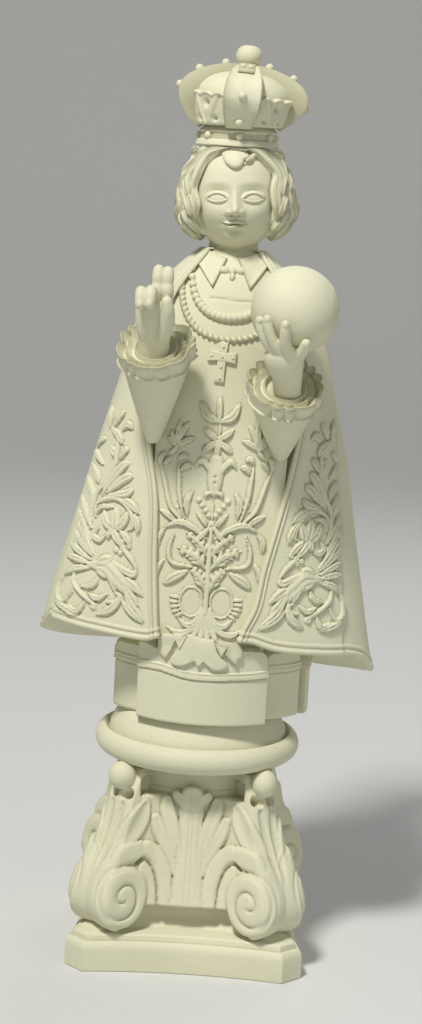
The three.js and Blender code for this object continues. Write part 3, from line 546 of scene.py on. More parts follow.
def cloak_grid():
    """Rings of the cloak from the hem up, with each point's lift and height above the hem."""
    share = np.concatenate([np.arange(0, 0.68, 0.0031), np.linspace(0.68, 1, 34)])
    at = mix(HEM_MIDDLE, CLOAK_TOP, share)
    left, right = left_opening(at), right_opening(at)
    left_edge, right_edge = left_panel_edge(at), right_panel_edge(at)
    border = np.minimum(BORDER_WIDTH, (right - left) * 0.14)
    columns, lifts, above = [], [], []

    def put_front(across, depth, ornament):
        low = hem(np.degrees(np.arctan2(across, cloak_front(60))))
        height = mix(low, CLOAK_TOP, share)
        columns.append(on_cloak(across, height, depth))
        lifts.append(np.full(len(share), float(ornament)))
        above.append(height - low)

    def put_back(a):
        degrees = np.degrees(a)
        low = hem(np.where(degrees > 180, degrees - 360, degrees))
        height = mix(low, CLOAK_TOP, share)
        wide = cloak_half_width(height) - BACK_INSET
        depth = np.where(np.cos(a) > 0, cloak_front(height) - BACK_INSET, cloak_back(height))
        columns.append(np.stack([axis_x(height) + wide * np.sin(a), -depth * np.cos(a), height], axis=-1))
        lifts.append(0.9 * np.sin(7 * a) * smooth_step(0.3, -0.5, np.cos(a)) * (1 - share) ** 0.7)
        above.append(height - low)

    left_columns = panel_columns(left, left_edge, -1, border)
    for column in left_columns[:1] + panel_columns(right, right_edge, 1, border):
        put_front(*column)
    wide = cloak_half_width(at)
    start = np.arcsin(np.minimum(right_edge / wide, 0.98)) + 0.02
    end = TAU - np.arcsin(np.minimum(-left_edge / wide, 0.98)) - 0.02
    for t in np.linspace(0, 1, BACK_COLUMNS):
        put_back(mix(start, end, t))
    for column in left_columns[:0:-1]:
        put_front(*column)
    return np.stack(columns, axis=1), np.stack(lifts, axis=1), np.stack(above, axis=1)


# Ornament of a cloak panel, in shares across the panel from its inner border outwards, and heights
PANEL_STEMS = [
    [(0.12, 75), (0.18, 79), (0.25, 82), (0.30, 84)],
    [(0.84, 68), (0.82, 63), (0.72, 59), (0.60, 56), (0.55, 55)],
    [(0.72, 97), (0.73, 103), (0.54, 107), (0.36, 106), (0.23, 101), (0.19, 95), (0.24, 93)],
    [(0.76, 91), (0.79, 100), (0.77, 108), (0.65, 114), (0.55, 122), (0.53, 130), (0.56, 135), (0.76, 140)],
    [(0.34, 62), (0.29, 61), (0.33, 58), (0.43, 57)],
    [(0.94, 67), (0.99, 61), (0.98, 55), (0.91, 53), (0.82, 59)],
]
PANEL_LEAVES = [
    ([(0.58, 75), (0.5, 77), (0.42, 78)], 2.2), ([(0.58, 72), (0.5, 71), (0.44, 69)], 2.2),
    ([(0.42, 77), (0.24, 73), (0.15, 72), (0.12, 75)], 1.5), ([(0.45, 70), (0.38, 67), (0.34, 62)], 1.5),
    ([(0.66, 79), (0.80, 86), (0.96, 93)], 1.5), ([(0.67, 78), (0.82, 83), (0.96, 88)], 1.5),
    ([(0.68, 76), (0.84, 79), (0.97, 81)], 1.5), ([(0.68, 74), (0.84, 75), (0.98, 75)], 1.5),
    ([(0.67, 72), (0.84, 70), (0.98, 65)], 1.5), ([(0.43, 92), (0.55, 95), (0.62, 101)], 2.0),
    ([(0.41, 92), (0.33, 96), (0.27, 102)], 1.9), ([(0.42, 91), (0.44, 97), (0.45, 103)], 2.3),
    ([(0.46, 92), (0.40, 89), (0.30, 84)], 1.7), ([(0.36, 92), (0.26, 89), (0.20, 85)], 1.4),
    ([(0.44, 92), (0.49, 90), (0.50, 87)], 1.3), ([(0.27, 70), (0.16, 67), (0.04, 62)], 1.8),
    ([(0.27, 69), (0.18, 62), (0.09, 57)], 1.8), ([(0.27, 68), (0.16, 57), (0.03, 50)], 1.6),
    ([(0.27, 60), (0.38, 54), (0.53, 50)], 1.7), ([(0.27, 59), (0.17, 54), (0.04, 49)], 1.5),
    ([(0.56, 68), (0.60, 64), (0.75, 62)], 1.2), ([(0.43, 61), (0.54, 58), (0.66, 60)], 1.2),
    ([(0.99, 52), (0.86, 50), (0.72, 48)], 1.5), ([(0.66, 56), (0.74, 50), (0.84, 52)], 1.3),
    ([(0.72, 98), (0.65, 102), (0.47, 103)], 1.2), ([(0.36, 108), (0.22, 105), (0.11, 101)], 1.6),
    ([(0.69, 108), (0.56, 116), (0.39, 123), (0.27, 125)], 2),
    ([(0.62, 109), (0.36, 117), (0.21, 119)], 1.9), ([(0.60, 108), (0.33, 110), (0.21, 113)], 1.6),
    ([(0.46, 126), (0.37, 130), (0.27, 132)], 1.4), ([(0.68, 131), (0.60, 129), (0.53, 126)], 1.6),
    ([(0.79, 95), (0.82, 106), (0.92, 111), (1.0, 115)], 1.7),
    ([(0.74, 91), (0.89, 99), (1.0, 105)], 1.6), ([(0.73, 85), (0.89, 94), (1.0, 98)], 1.5),
    ([(0.78, 122), (0.94, 126), (1.0, 128)], 1.5), ([(0.79, 113), (0.85, 117), (0.99, 121)], 1.6),
    ([(0.86, 134), (0.93, 133), (1.0, 129)], 1.3), ([(0.78, 140), (0.54, 137), (0.42, 133)], 1.6),
    ([(0.64, 92), (0.69, 88), (0.60, 86), (0.51, 90)], 1.2),
    ([(0.18, 101), (0.13, 96), (0.12, 91)], 1.3), ([(0.83, 140), (0.9, 146), (0.97, 150)], 1.5),
    ([(0.7, 141), (0.6, 146), (0.45, 149)], 1.7), ([(0.45, 140), (0.3, 143), (0.15, 141)], 1.5),
]
PANEL_HORN = [(0.68, 73.5), (0.56, 73.8), (0.46, 73.6), (0.36, 70), (0.25, 65.5)]
PANEL_HORN_WIDTHS = [1.4, 2.9, 3.6, 4.4, 3.4]
PANEL_BUDS = [
    ((0.30, 84), 1.7), ((0.38, 82.6), 1.5), ((0.22, 85.2), 1.5), ((0.31, 87), 1.5), ((0.32, 81.5), 1.4),
    ((0.57, 54), 2.0), ((0.58, 129), 1.6),
]


def carve_panel(relief, opening, edge):
    """The stems, leaves, horn and buds of one front panel."""

    def place(share, height):
        inner = opening(height) + math.copysign(BORDER_WIDTH, opening(height))
        return on_cloak(mix(inner, edge(height), share), height)

    def path(points):
        return [place(share, height) for share, height in points]

    for points in PANEL_STEMS:
        relief.stroke(path(points), 1.35, 1.6, tips=(0.6, 0.5))
    relief.stroke(path(PANEL_HORN), PANEL_HORN_WIDTHS, 2.2, vein=0.2)
    for points, half_width in PANEL_LEAVES:
        relief.stroke(path(points), half_width * 1.25, 2.0, tips=(0.3, 0.1), vein=0.4)
    for (share, height), radius in PANEL_BUDS:
        relief.dome(place(share, height), radius, 1.5)
        relief.pit(place(share, height), radius * 0.4, 0.6)


def cloak():
    """The whole cloak with its panels and hem, closed underneath by a hollow behind the hem."""
    grid, lift, above = cloak_grid()
    relief = Relief(grid)
    carve_panel(relief, left_opening, left_panel_edge)
    carve_panel(relief, right_opening, right_panel_edge)
    body = relief.result(lift + hem_lines(above) * (above < HEM_BAND))
    middle = np.array([axis_x(HEM_MIDDLE), 3, 0])
    rim = middle + (body[0] - middle) * [0.955, 0.93, 1] + [0, 0, 0.2]
    inner = middle + (body[0] - middle) * [0.62, 0.62, 1] + [0, 0, 5]
    return loft(np.concatenate([inner[None], rim[None], body]))


# The robe's front, with the tunic and the front pleat in one face

front_centre = track([(0, 1.6), (64, 1.6), (90, 2.8), (131, 4.5), (229, 4.5)])
front_half = track([(0, 31.8), (180, 31.8), (196, 31), (209, 25), (219, 20), (229, 14)])
pleat_top = track([
    (-31, 38.1), (-26, 37.8), (-20.5, 36.2), (18, 38), (29.4, 37.2), (31.8, 36), (33.4, 32.5),
])
pleat_band = track([(-30, 27), (-20, 27.5), (-13.5, 26.4), (-6.7, 25.1), (3.8, 24.8), (33.7, 25.6)])
FRONT_PLEAT = (-20.8, 19.2)
ROBE_COLUMNS = 134


ornament_axis = track([(30, 1.2), (80, 1.6), (150, 3.0)])

# Mirrored ornament: distance from the ornament's axis and height, with a half width and a mid vein
TUNIC_LEAVES = [
    ([(0.5, 148.5), (6, 151), (9.5, 157.8)], 1.9, 0.4),
    ([(0, 139.3), (3.5, 142), (7.2, 144.8)], 1.5, 0.4),
    ([(0, 139.3), (3.6, 136.4), (7.3, 133.7)], 1.5, 0.4),
    ([(1.5, 121), (3.4, 126), (7, 129.3), (10, 125.8)], 1.4, 0.2),
    ([(0, 114.3), (3, 113.8), (4.6, 111.6)], 1.0, 0), ([(7.3, 104), (4, 100.5), (2, 97.6)], 1.2, 0.3),
    ([(12, 102.8), (12.7, 109), (10, 115)], 1.5, 0.4),
    ([(14.5, 99.6), (20.5, 106.5), (24.3, 119), (27, 125.7)], 1.0, 0),
    ([(13.2, 100), (16.3, 111.3), (17.3, 121), (18.3, 129.4)], 1.0, 0),
    ([(27, 125.7), (26.5, 129), (25, 132.3)], 1.3, 0.3), ([(25, 126), (23.5, 128), (22, 130)], 1.1, 0.3),
    ([(18, 129), (16, 131), (14, 130)], 1.3, 0.3), ([(17, 124), (14, 126.5), (11.8, 126.5)], 1.3, 0.3),
    ([(19.2, 135.5), (19, 142), (18.5, 148.5)], 1.5, 0.4),
    ([(19.2, 136), (17.5, 142), (14.3, 147.4)], 1.4, 0.4),
    ([(19.2, 135.5), (15, 138.5), (11.3, 139.8)], 1.3, 0.4),
    ([(19.5, 136), (21.5, 139.5), (22.5, 143)], 1.2, 0.4),
    ([(19.2, 135), (21.5, 137.5), (24.5, 139.5)], 1.3, 0.4),
    ([(19.2, 135), (21, 133), (23, 131)], 1.1, 0.3),
    ([(2.3, 92), (9.5, 97.2), (16.3, 99), (22.7, 95.5)], 1.4, 0.3),
    ([(8, 77.8), (17.9, 79.5), (19.5, 86.5), (17, 94)], 1.0, 0),
    ([(20.5, 69), (16, 72.5), (9.6, 76)], 2, 0.4),
    ([(2.3, 57.6), (5, 51), (9, 49.6), (13.4, 53.4)], 1.5, 0.3),
    ([(2.5, 55), (6.5, 47.6), (12.6, 45.6), (18.6, 48.4)], 1.5, 0.3),
    ([(0.8, 98), (5, 92.5), (9, 90.5)], 1.3, 0.3), ([(17.5, 99), (21, 102), (25.5, 104)], 1.4, 0.4),
    ([(22.5, 95), (25, 91), (25, 86)], 1.4, 0.4), ([(22, 80), (24.5, 76), (25, 71)], 1.3, 0.3),
]
# Leaves with side lobes
TUNIC_LOBED = [
    ([(1.2, 83), (4.5, 89), (12, 94.5)], 1.5), ([(1, 77), (6.4, 83), (15, 86.5)], 1.8),
    ([(0.9, 66), (3.3, 72.5), (7.8, 77.5)], 1.6),
]
TUNIC_BERRIES = [(7, 110.3), (5.2, 107.9), (3.4, 105.5), (1.6, 103.2)]
PLEAT_CENTRE = 3.4


def robe_spot(x, height):
    """A point of the robe's front by its x and height: on the tunic, or low down on the front pleat."""
    x, height = np.broadcast_arrays(np.asarray(x, float), np.asarray(height, float))
    tunic = on_robe(x - axis_x(height), height)
    sine = np.clip((x - PLEAT_CENTRE) / (ROBE_HALF_WIDTH + PLEAT_STEP), -0.9, 0.9)
    cosine = np.sqrt(1 - sine * sine)
    depth = (ROBE_HALF_DEPTH + PLEAT_STEP + 1.5 * cosine) * cosine
    pleat = np.stack([x, -depth, height], axis=-1)
    return mix(pleat, tunic, smooth_step(37, 50, height)[..., None])


def robe_front_grid():
    """Points of the robe's front, in finer rows where it is carved."""
    heights = np.concatenate([np.arange(0.2, 172, 0.55), np.linspace(172, 229, 72)])[:, None]
    x = front_centre(heights) + front_half(heights) * np.linspace(-1, 1, ROBE_COLUMNS)[None]
    return robe_spot(x, heights)


def pleat_band_lift(above, line):
    """The raised band across the pleats by the height above its middle, with a fine line under it."""
    band = 0.85 * smooth_step(2.1, 1.6, np.abs(above)) - 0.3 * smooth_step(0.7, 0.2, np.abs(above - 0.6))
    return band - line * smooth_step(0.5, 0.1, np.abs(above + 2.3))


def lobed_leaf(relief, path, half_width, rise):
    """A leaf whose side lobes branch off its mid rib."""
    spots = spline(path, 6)
    along = unit(np.gradient(spots, axis=0))
    normal = np.array([0, -1, 0])
    for i in range(1, 5):
        size = half_width * (2.1 - 0.28 * i)
        for side in (-1, 1):
            aside = unit(np.cross(normal, along[i])) * side
            tip = spots[i] + aside * size + along[i] * size * 1.1
            lobe = [spots[i], mix(spots[i], tip, 0.5) + along[i] * 0.2, tip]
            relief.stroke(lobe, half_width * 0.68, rise * 0.85, tips=(0.6, 0.5))
    relief.stroke(path, half_width * 0.75, rise * 1.15, vein=0.3)


def carve_tunic(relief):
    """The tunic's ornament: mirrored leaves and scallops beside a line of buds and drops."""

    def spot(away, height):
        return robe_spot(ornament_axis(height) + away, height)

    for side in (-1, 1):
        def path(points):
            return [spot(side * away, height) for away, height in points]

        for points, half_width, vein in TUNIC_LEAVES:
            relief.stroke(path(points), half_width * 1.12, 2.1, tips=(0.35, 0.12), vein=vein, crease=0.3)
        for points, half_width in TUNIC_LOBED:
            lobed_leaf(relief, path(points), half_width, 2.1)
        for away, height in TUNIC_BERRIES:
            relief.dome(spot(side * away, height), 1.35, 1.4)
        for height in (109.5, 106):
            relief.dome(spot(side * 17, height), 0.8, 0.8)
        # The bare oval and the scallops outside it
        turn = np.linspace(0, TAU, 25)
        oval = [spot(side * (7.3 + 5.4 * math.sin(a)), 61 + 7.2 * math.cos(a)) for a in turn]
        relief.stroke(oval, 0.6, 0.8, tips=(1, 1))
        for k in range(5):
            a = math.radians(78 + 15 * k)
            start = spot(side * (7.3 + 6.3 * math.sin(a)), 61 + 8 * math.cos(a))
            end = spot(side * (8 + 8.8 * math.sin(a)), 61 + 9.6 * math.cos(a))
            relief.stroke([start, end], 1.0, 1.3, tips=(0.6, 0.9), crease=0.2)
        for k in range(2):
            flute = [(0.6 + 0.8 * k, 58), (1.0 + 1.6 * k, 51), (1.6 + 3.8 * k, 43.5)]
            relief.stroke(path(flute), 1.6, 1.7, tips=(0.5, 1), crease=0.3)
    # The line of buds and drops in the middle, from the top down
    relief.stroke([spot(0, 148.5), spot(-0.3, 155), spot(-0.3, 161.2)], 1.6, 2.1, vein=0.4, crease=0.3)
    relief.stroke([spot(0, 148.5), spot(0.6, 145), spot(0, 140)], 0.7, 0.9)
    relief.stroke([spot(0, 139.3), spot(0, 135), spot(0, 130.2)], 1.7, 2.1, vein=0.4, crease=0.3)
    relief.stroke([spot(0, 129.5), spot(0, 122), spot(0, 115)], 3.8, 2.2, tips=(0.85, 0.7), crease=0.3)
    for height in (122, 119):
        relief.pit(spot(0, height), 0.8, 0.9)
    relief.stroke([spot(0, 112), spot(0, 105), spot(0, 98)], 0.7, 0.9)
    relief.stroke([spot(0, 99.5), spot(0, 96)], 1.7, 1.4, tips=(0.8, 0.8))
    relief.pit(spot(0, 97.8), 0.7, 0.9)
    relief.stroke([spot(0, 97), spot(0, 78), spot(0, 56)], 1.4, 1.8, tips=(0.6, 0.9))


# The ribbon ends at the ornament's foot, by x and height, each with its rise over the apron's.
RIBBONS = [
    (1.1, [(-7, 46), (-19.2, 44), (-19.9, 38.4), (-19.7, 34.6), (-17.1, 32.2), (-14.4, 36.8), (-12.6, 41.6)]),
    (1.3, [(-12.6, 42.6), (-10.3, 37.6), (-6.6, 45.3)]),
    (1.1, [
        (6.4, 43.6), (18.2, 42), (20.6, 38.8), (20.6, 34.6), (18.5, 34), (17.9, 31), (11.8, 36.8),
        (13.2, 40.2),
    ]),
    (1.3, [(13.6, 40.9), (10.1, 35), (6.4, 42.8)]),
]
# The apron between them, by x and height.
APRON = [
    (-7.3, 45.3), (-10.6, 38), (-13.9, 32.6), (-13.3, 29.8), (-9.1, 29.6), (-7.1, 31.6), (-4.5, 33.4),
    (-2.4, 32.4), (-0.7, 30), (2.1, 32.8), (4.5, 31.2), (7.3, 28.6), (12, 29.2), (13.7, 31.1),
    (11.7, 33.8), (8.6, 37.3), (6.2, 43), (0, 44),
]
# Edge of the apron and the ribbons: share of the outline and lift.
PLATE = [(1, -1.5), (1, 1.3), (0.97, 1.9), (0.9, 2.1), (0.5, 2.0), (0.2, 1.9)]


def on_tunic(x, height, lift):
    return robe_spot(x, height) + [0, -1.0 * lift, 0]


def apron():
    """The apron with its waved edge, and the folded ribbon ends beside it."""
    shape = slab(closed_curve(APRON, 144), on_tunic, PLATE)
    for rise, outline in RIBBONS:
        shape.join(slab(polygon(outline), on_tunic, [(share, lift * rise) for share, lift in PLATE]))
    return shape


def robe_front():
    """The tunic and the front pleat in one face, with a plain back under the cloak."""
    grid = robe_front_grid()
    relief = Relief(grid)
    carve_tunic(relief)
    neck_fold = [on_robe(x, height) for x, height in ((-10, 206.6), (2, 206), (16, 205.6))]
    relief.groove(neck_fold, 0.7, 0.8, tips=(0.7, 0.7))
    x, height = grid[..., 0], grid[..., 2]
    outside = (x < FRONT_PLEAT[0]) | (x > FRONT_PLEAT[1])
    shelf = np.where(outside, -6 * smooth_step(-0.3, 0.8, height - pleat_top(x)), 0)
    shelf = shelf * (1 - smooth_step(41, 48, height))
    band = pleat_band_lift(height - pleat_band(x), 0.5)
    under = -0.5 * smooth_step(1, 0, height)
    front = relief.result(shelf + band + under)
    up = height[:, 0]
    centre, half = front_centre(up), front_half(up)
    back = [
        np.stack([centre + half * math.cos(a), np.full_like(up, 8 * math.sin(a)), up], axis=-1)
        for a in np.linspace(0.06, math.pi - 0.06, 14)
    ]
    return loft(np.concatenate([front, np.stack(back, axis=1)], axis=1))


# The box pleats round the sides and the back: start and end in degrees, half width, half depth and top.
PLEATS = [
    (-33, 33, 45, 38, 33), (33.5, 70, 49.6, 32, 33.5), (70.5, 77, 44, 31, 30), (77.5, 126, 51.4, 41, 30),
    (126.5, 134, 46, 38, 30), (134.5, 225.5, 48, 42, 30), (226, 233.5, 46, 38, 30),
    (234, 282.5, 46.5, 41, 30), (283, 289.5, 42, 31, 30), (290, 326.5, 49.6, 32, 33.5),
]
BAND_MIDDLE = 25.6


def skirt():
    """The robe's lower sides and back: box pleats like tabs with rounded upper corners and a raised band."""
    plain = np.concatenate([np.linspace(0, 1.2, 4), np.linspace(2, 22, 12)])
    heights = np.concatenate([plain, np.arange(22.4, 37, 0.4), [38, 40]])
    band = pleat_band_lift(heights - BAND_MIDDLE, 0.4) - 0.6 * smooth_step(1.2, 0, heights)
    columns = []
    for start, end, half_width, half_depth, crest in PLEATS:
        for t in np.linspace(0, 1, max(int((end - start) / 1.3), 5)):
            a = math.radians(mix(start, end, t))
            edge = min(t, 1 - t) * (end - start) * 0.8
            top = crest - 5 * (1 - min(edge / 6, 1)) ** 2
            soft = -0.7 * (1 - min(edge / 1.2, 1)) ** 2
            lift = soft + band - 6 * smooth_step(top - 0.4, top + 1, heights)
            x = axis_x(0) + (half_width + lift) * math.sin(a)
            y = -(half_depth + lift) * math.cos(a)
            columns.append(np.stack([x, y, heights], axis=-1))
    return loft(np.stack(columns, axis=1))


# Sleeves, cuffs and hands

# The cuff from the sleeve to its inside: place along it, share of its radius, and share of the ruffle.
CUFF_PROFILE = [
    (-26, 0.5, 0), (-18, 0.72, 0), (-12, 0.84, 0), (-9, 0.925, 0.1), (-8.4, 0.985, 0.8),
    (-7.8, 1.015, 1.0), (-7.2, 1.0, 1.0), (-6.8, 0.965, 0.9), (-4.4, 0.97, 0.9), (-2, 0.99, 1.0),
    (-0.5, 1.0, 1.0), (0.2, 0.985, 1.0), (0.2, 0.955, 0.95), (-1.2, 0.91, 0.8), (-3.2, 0.86, 0.55),
    (-4.6, 0.81, 0.4), (-4.7, 0.785, 0.4), (-2.8, 0.775, 0.5), (-1.6, 0.765, 0.55), (-1.2, 0.745, 0.55),
    (-1.5, 0.715, 0.5), (-3, 0.66, 0.3), (-4, 0.61, 0.15), (-3.9, 0.58, 0.05), (-2.4, 0.565, 0),
    (-1.7, 0.55, 0), (-1.7, 0.525, 0), (-2.4, 0.495, 0), (-4.8, 0.46, 0),
]
RUFFLE_LOBES = 12
RUFFLE_DEPTH = 2.2


def sleeve(centre, along, foot, seed):
    """A funnel sleeve with a ruffled cuff: soft uneven folds, deeper at the outer edge."""
    along = unit(np.array(along, float))
    side = unit(np.array([1.0, 0, 0]) - along * along[0])
    over = np.cross(side, along)
    a = angles(240)
    bent = a + 0.15 * np.sin(3 * a + seed) + 0.09 * np.sin(5 * a + 2 * seed) + 0.05 * np.sin(8 * a + seed)
    fold = np.abs(np.sin(RUFFLE_LOBES / 2 * bent)) ** 0.95
    wave = RUFFLE_DEPTH * (fold - 0.66) * (1 + 0.3 * np.sin(2 * a + 3 * seed))

    def ring(middle, radius, ruffle):
        r = radius + ruffle * wave
        return middle + r[:, None] * (np.cos(a)[:, None] * side + np.sin(a)[:, None] * over)

    rings = []
    for offset, share, ruffle in CUFF_PROFILE:
        dip = along * (ruffle * 0.9 * (fold - 0.6))[:, None]
        rings.append(ring(centre + along * offset, CUFF_RADIUS * share, ruffle) + dip)
    root = centre - along * 7.4
    shares = np.linspace(0, 1, 16)
    drape = loft([ring(mix(root, foot, t), CUFF_RADIUS * mix(0.9, 0.2, t**1.15), 0) for t in shares])
    return loft(rings).join(drape)


def finger(points, radii, nail=None):
    """A finger with soft joints and a rounded tip, and a nail at an offset from it."""
    shape = tube(points, radii, 16)
    shape.join(ball(points[-1], radii[-1] * 0.98, 16, 10))
    if nail:
        place = np.array(points[-1]) + np.array(nail, float)
        shape.join(ball(place, (radii[-1] * 0.6, radii[-1] * 0.4, radii[-1] * 0.75), 14, 10))
    return shape


def blessing_hand(wrist):
    """Two raised fingers held together, two curled ones and the thumb, by their places from the wrist."""
    palm = [(0, 8, -14), (0, 3, -2), (-0.2, 0, 4), (-0.4, -2, 10), (-0.4, -3, 16), (0, -3, 20)]
    shape = tube(palm, [WRIST_RADIUS + 0.6, WRIST_RADIUS + 0.4, 8.2, 8.7, 8.4, 6.2], 28, 0.6)
    for x, tip in ((0.9, 31.9), (5.3, 31.4)):
        raised = [(x, -3, 13), (x, -5, 19), (x, -6.4, 23), (x, -6.2, 26), (x, -6.2, 29), (x, -5.4, tip)]
        shape.join(finger(raised, [3.1, 3.0, 3.15, 2.75, 2.95, 2.7]))
    middle = [(-1.9, -2, 13), (-2.0, -7, 22), (-2.0, -11.8, 21.2), (-2.1, -13.4, 16.4)]
    shape.join(finger(middle, [3.0, 2.7, 2.7, 2.4], nail=(0, -1.9, 0.6)))
    little = [(-6.4, -1, 13), (-6.6, -6.4, 21.4), (-6.6, -11, 20.6), (-6.6, -12.6, 15.8)]
    shape.join(finger(little, [3.0, 2.6, 2.6, 2.3], nail=(0, -1.8, 0.6)))
    thumb = [(3.8, -1, 1), (5.6, -5, 8), (6.2, -8.6, 13.6), (5.6, -10.4, 18)]
    shape.join(finger(thumb, [4, 3.9, 3.2, 2.6]))
    return fused(shape.moved(wrist))


# Fingers that hold the globe: places across and above its centre, and half width.
HOLDING_FINGERS = [
    ([(-6, -19.5), (-11.6, -14.6), (-15.2, -8.6), (-16.2, -4.2)], 2.3),
    ([(-4.4, -19), (-9.4, -13.6), (-11.8, -7.6), (-12.7, -3.4)], 2.3),
    ([(-2, -19), (-3.8, -14.6), (-4.2, -9), (-4.3, -5.2)], 2.4),
    ([(-0.6, -21), (2.6, -19.4), (4.4, -17), (5.6, -13.6)], 2.5),
]


def holding_hand(wrist):
    """A palm under the globe, with fingers that lie on the globe's front."""
    gap = GLOBE_RADIUS + FINGER_RADIUS * 1.1
    palm = [(0.6, 10, -12), (0, 3, -4), (-0.6, -1.6, 3), (-2, -5, 9), (-3.2, -6.4, 13.6), (-3.6, -6, 16.6)]
    shape = tube(palm, [WRIST_RADIUS - 0.2, WRIST_RADIUS - 0.4, 7.2, 9, 9, 6.4], 28, 0.62).moved(wrist)
    for path, size in HOLDING_FINGERS:
        points = [GLOBE_CENTRE + [x, -math.sqrt(gap * gap - x * x - z * z), z] for x, z in path]
        shape.join(finger(points, [3.8, size + 0.5, size + 0.15, size - 0.1], nail=(0, -1.8, 0.3)))
    return fused(shape)


def globe():
    """The globe, with a faint mould seam round it."""
    a = angles(100)
    rings = []
    for c in np.cos(np.linspace(math.pi * 0.992, math.pi * 0.008, 62)):
        girth = math.sqrt(1 - c * c)
        seam = 0.22 * bell(np.sin(a) * girth - 0.82, 0.02) * (girth > 0.2)
        rings.append(ring_of(girth, c, a) * (GLOBE_RADIUS + seam)[:, None] + GLOBE_CENTRE)
    return loft(rings)


# Head, face and hair


def face_relief(x, z):
    """A calm child's face on even thirds: how far it stands out, by place across and above the centre."""
    even = np.abs(x)
    eye_x, eye_z = even - 8.7, z + 1.2
    arc = np.clip(1 - (eye_x / 4.9) ** 2, 0, 1)
    upper, lower = 2.4 * arc**0.8, -1.4 * arc
    open_eye = smooth_step(-0.05, 0.35, upper - eye_z) * smooth_step(-0.05, 0.35, eye_z - lower) * (arc > 0)
    eyeball = 2.2 * np.clip(1 - (eye_x / 6.0) ** 2 - ((eye_z - 0.6) / 3.3) ** 2, 0, 1) ** 0.8
    upper_lid = 0.5 * bell(eye_z - upper - 0.3, 0.5) * smooth_step(5.4, 3.8, np.abs(eye_x))
    lower_lid = 0.2 * bell(eye_z - lower + 0.3, 0.4) * smooth_step(4.8, 3.2, np.abs(eye_x))
    crease = -0.3 * bell(eye_z - upper - 1.4, 0.4) * smooth_step(5.4, 3.4, np.abs(eye_x))
    socket = -2.0 * bump(even, z, 7.8, 0.2, 6.2, 4.6)
    brow = 0.45 * bump(even, z, 9.4, 6.4 - 0.035 * (even - 8.4) ** 2, 6.2, 1.9)
    width = 1.9 + 1.0 * smooth_step(1, -6.5, z)
    ridge = mix(0.5, 4.3, smooth_step(4.6, -6.4, z)) * bell(x, width) * smooth_step(8, 1, z)
    tip = 1.4 * bump(x, z, 0, -7.0, 2.5, 1.8)
    wing = 1.8 * bump(even, z, 3.3, -7.8, 1.3, 1.3)
    nose = (ridge + tip + wing) * smooth_step(-9.6, -8.7, z)
    nostril = -1.2 * bump(even, z, 1.8, -9.1, 0.9, 0.55)
    groove = -0.35 * bump(x, z, 0, -10.9, 0.9, 1.1) + 0.15 * bump(even, z, 1.6, -10.9, 0.6, 1.1)
    line = -13.6 + 0.2 * np.cos(even) + 0.006 * even**2
    bow = line + 1.6 - 0.045 * even**2 + 0.2 * bell(even - 1.4, 1) - 0.3 * bell(x, 0.6)
    upper_lip = 1.7 * np.exp(-(((z - mix(line, bow, 0.5)) / 0.9) ** 4)) * smooth_step(6.6, 3.2, even)
    lower_lip = 2.0 * np.exp(-(((z - line + 1.4) / 1.1) ** 4)) * smooth_step(5.6, 2.2, even)
    parting = -1.5 * bell(z - line, 0.42) * smooth_step(6.6, 5, even)
    corner = -0.4 * bump(even, z, 6.4, -13.2, 1.2, 1.2)
    under_lip = -0.8 * bump(x, z, 0, -17.2, 3.6, 1)
    chin = 2.1 * bump(x, z, 0, -20.8, 5, 3.1)
    cheeks = 1.5 * bump(even, z, 11.8, -8, 6.6, 7)
    return (
        socket + eyeball - 0.6 * open_eye + upper_lid + lower_lid + crease + brow + nose + nostril
        + groove + upper_lip + lower_lip + parting + corner + under_lip + chin + cheeks
    )


def head():
    """The head with its face, finely ringed from the chin to above the eyes."""
    a = np.radians(np.concatenate([np.linspace(-78, 78, 181), np.linspace(84, 276, 30)]))
    lifts = np.concatenate([np.arange(-26.6, 12, 0.3), np.linspace(12.4, 24, 20)])
    rings = []
    for z in lifts:
        sine = z / HEAD_HALF_HEIGHT
        girth = max(1 - abs(sine) ** 2.3, 0.02) ** 0.5
        narrow = 1 - 0.16 * max(-sine, 0) ** 1.5
        x = HEAD_HALF_WIDTH * narrow * girth * np.sin(a)
        ahead = np.cos(a)
        depth = np.where(ahead > 0, HEAD_FRONT, HEAD_BACK) * girth * ahead
        y = -depth - face_relief(x, z) * np.clip(ahead * 2, 0, 1)
        rings.append(np.stack([x, y, np.full_like(x, z)], axis=1))
    return tilted(loft(rings))


def tilted(shape):
    turn = np.array(Matrix.Rotation(-HEAD_TILT, 3, "Y"))
    return Shape().add(np.concatenate(shape.points) @ turn.T + HEAD_CENTRE, shape.faces)


def neck():
    return tube([(4.3, 0, 218), (4.3, -1, 232), (4.2, -2, 246)], [14, 12, 13], 48, count=20)


def brow_spot(x, z, lift):
    """A point in front of the forehead, by place across and above the head's centre."""
    girth = np.sqrt(1 - np.clip(np.abs(z) / HEAD_HALF_HEIGHT, 0, 0.99) ** 2.3)
    depth = HEAD_FRONT * np.sqrt(np.maximum(girth**2 - (x / HEAD_HALF_WIDTH) ** 2, 0.01))
    return np.stack([x, -depth - lift, z], axis=-1)


# The forelock's outline, by place across and above the head's centre.
FORELOCK = [
    (-6.8, 22.6), (-6.6, 19), (-5, 15.6), (-2, 13.2), (1.2, 13), (3.6, 14.8), (4.4, 17), (6.6, 18.4),
    (5.2, 20.4), (1.6, 22.6), (-2.6, 23.4),
]


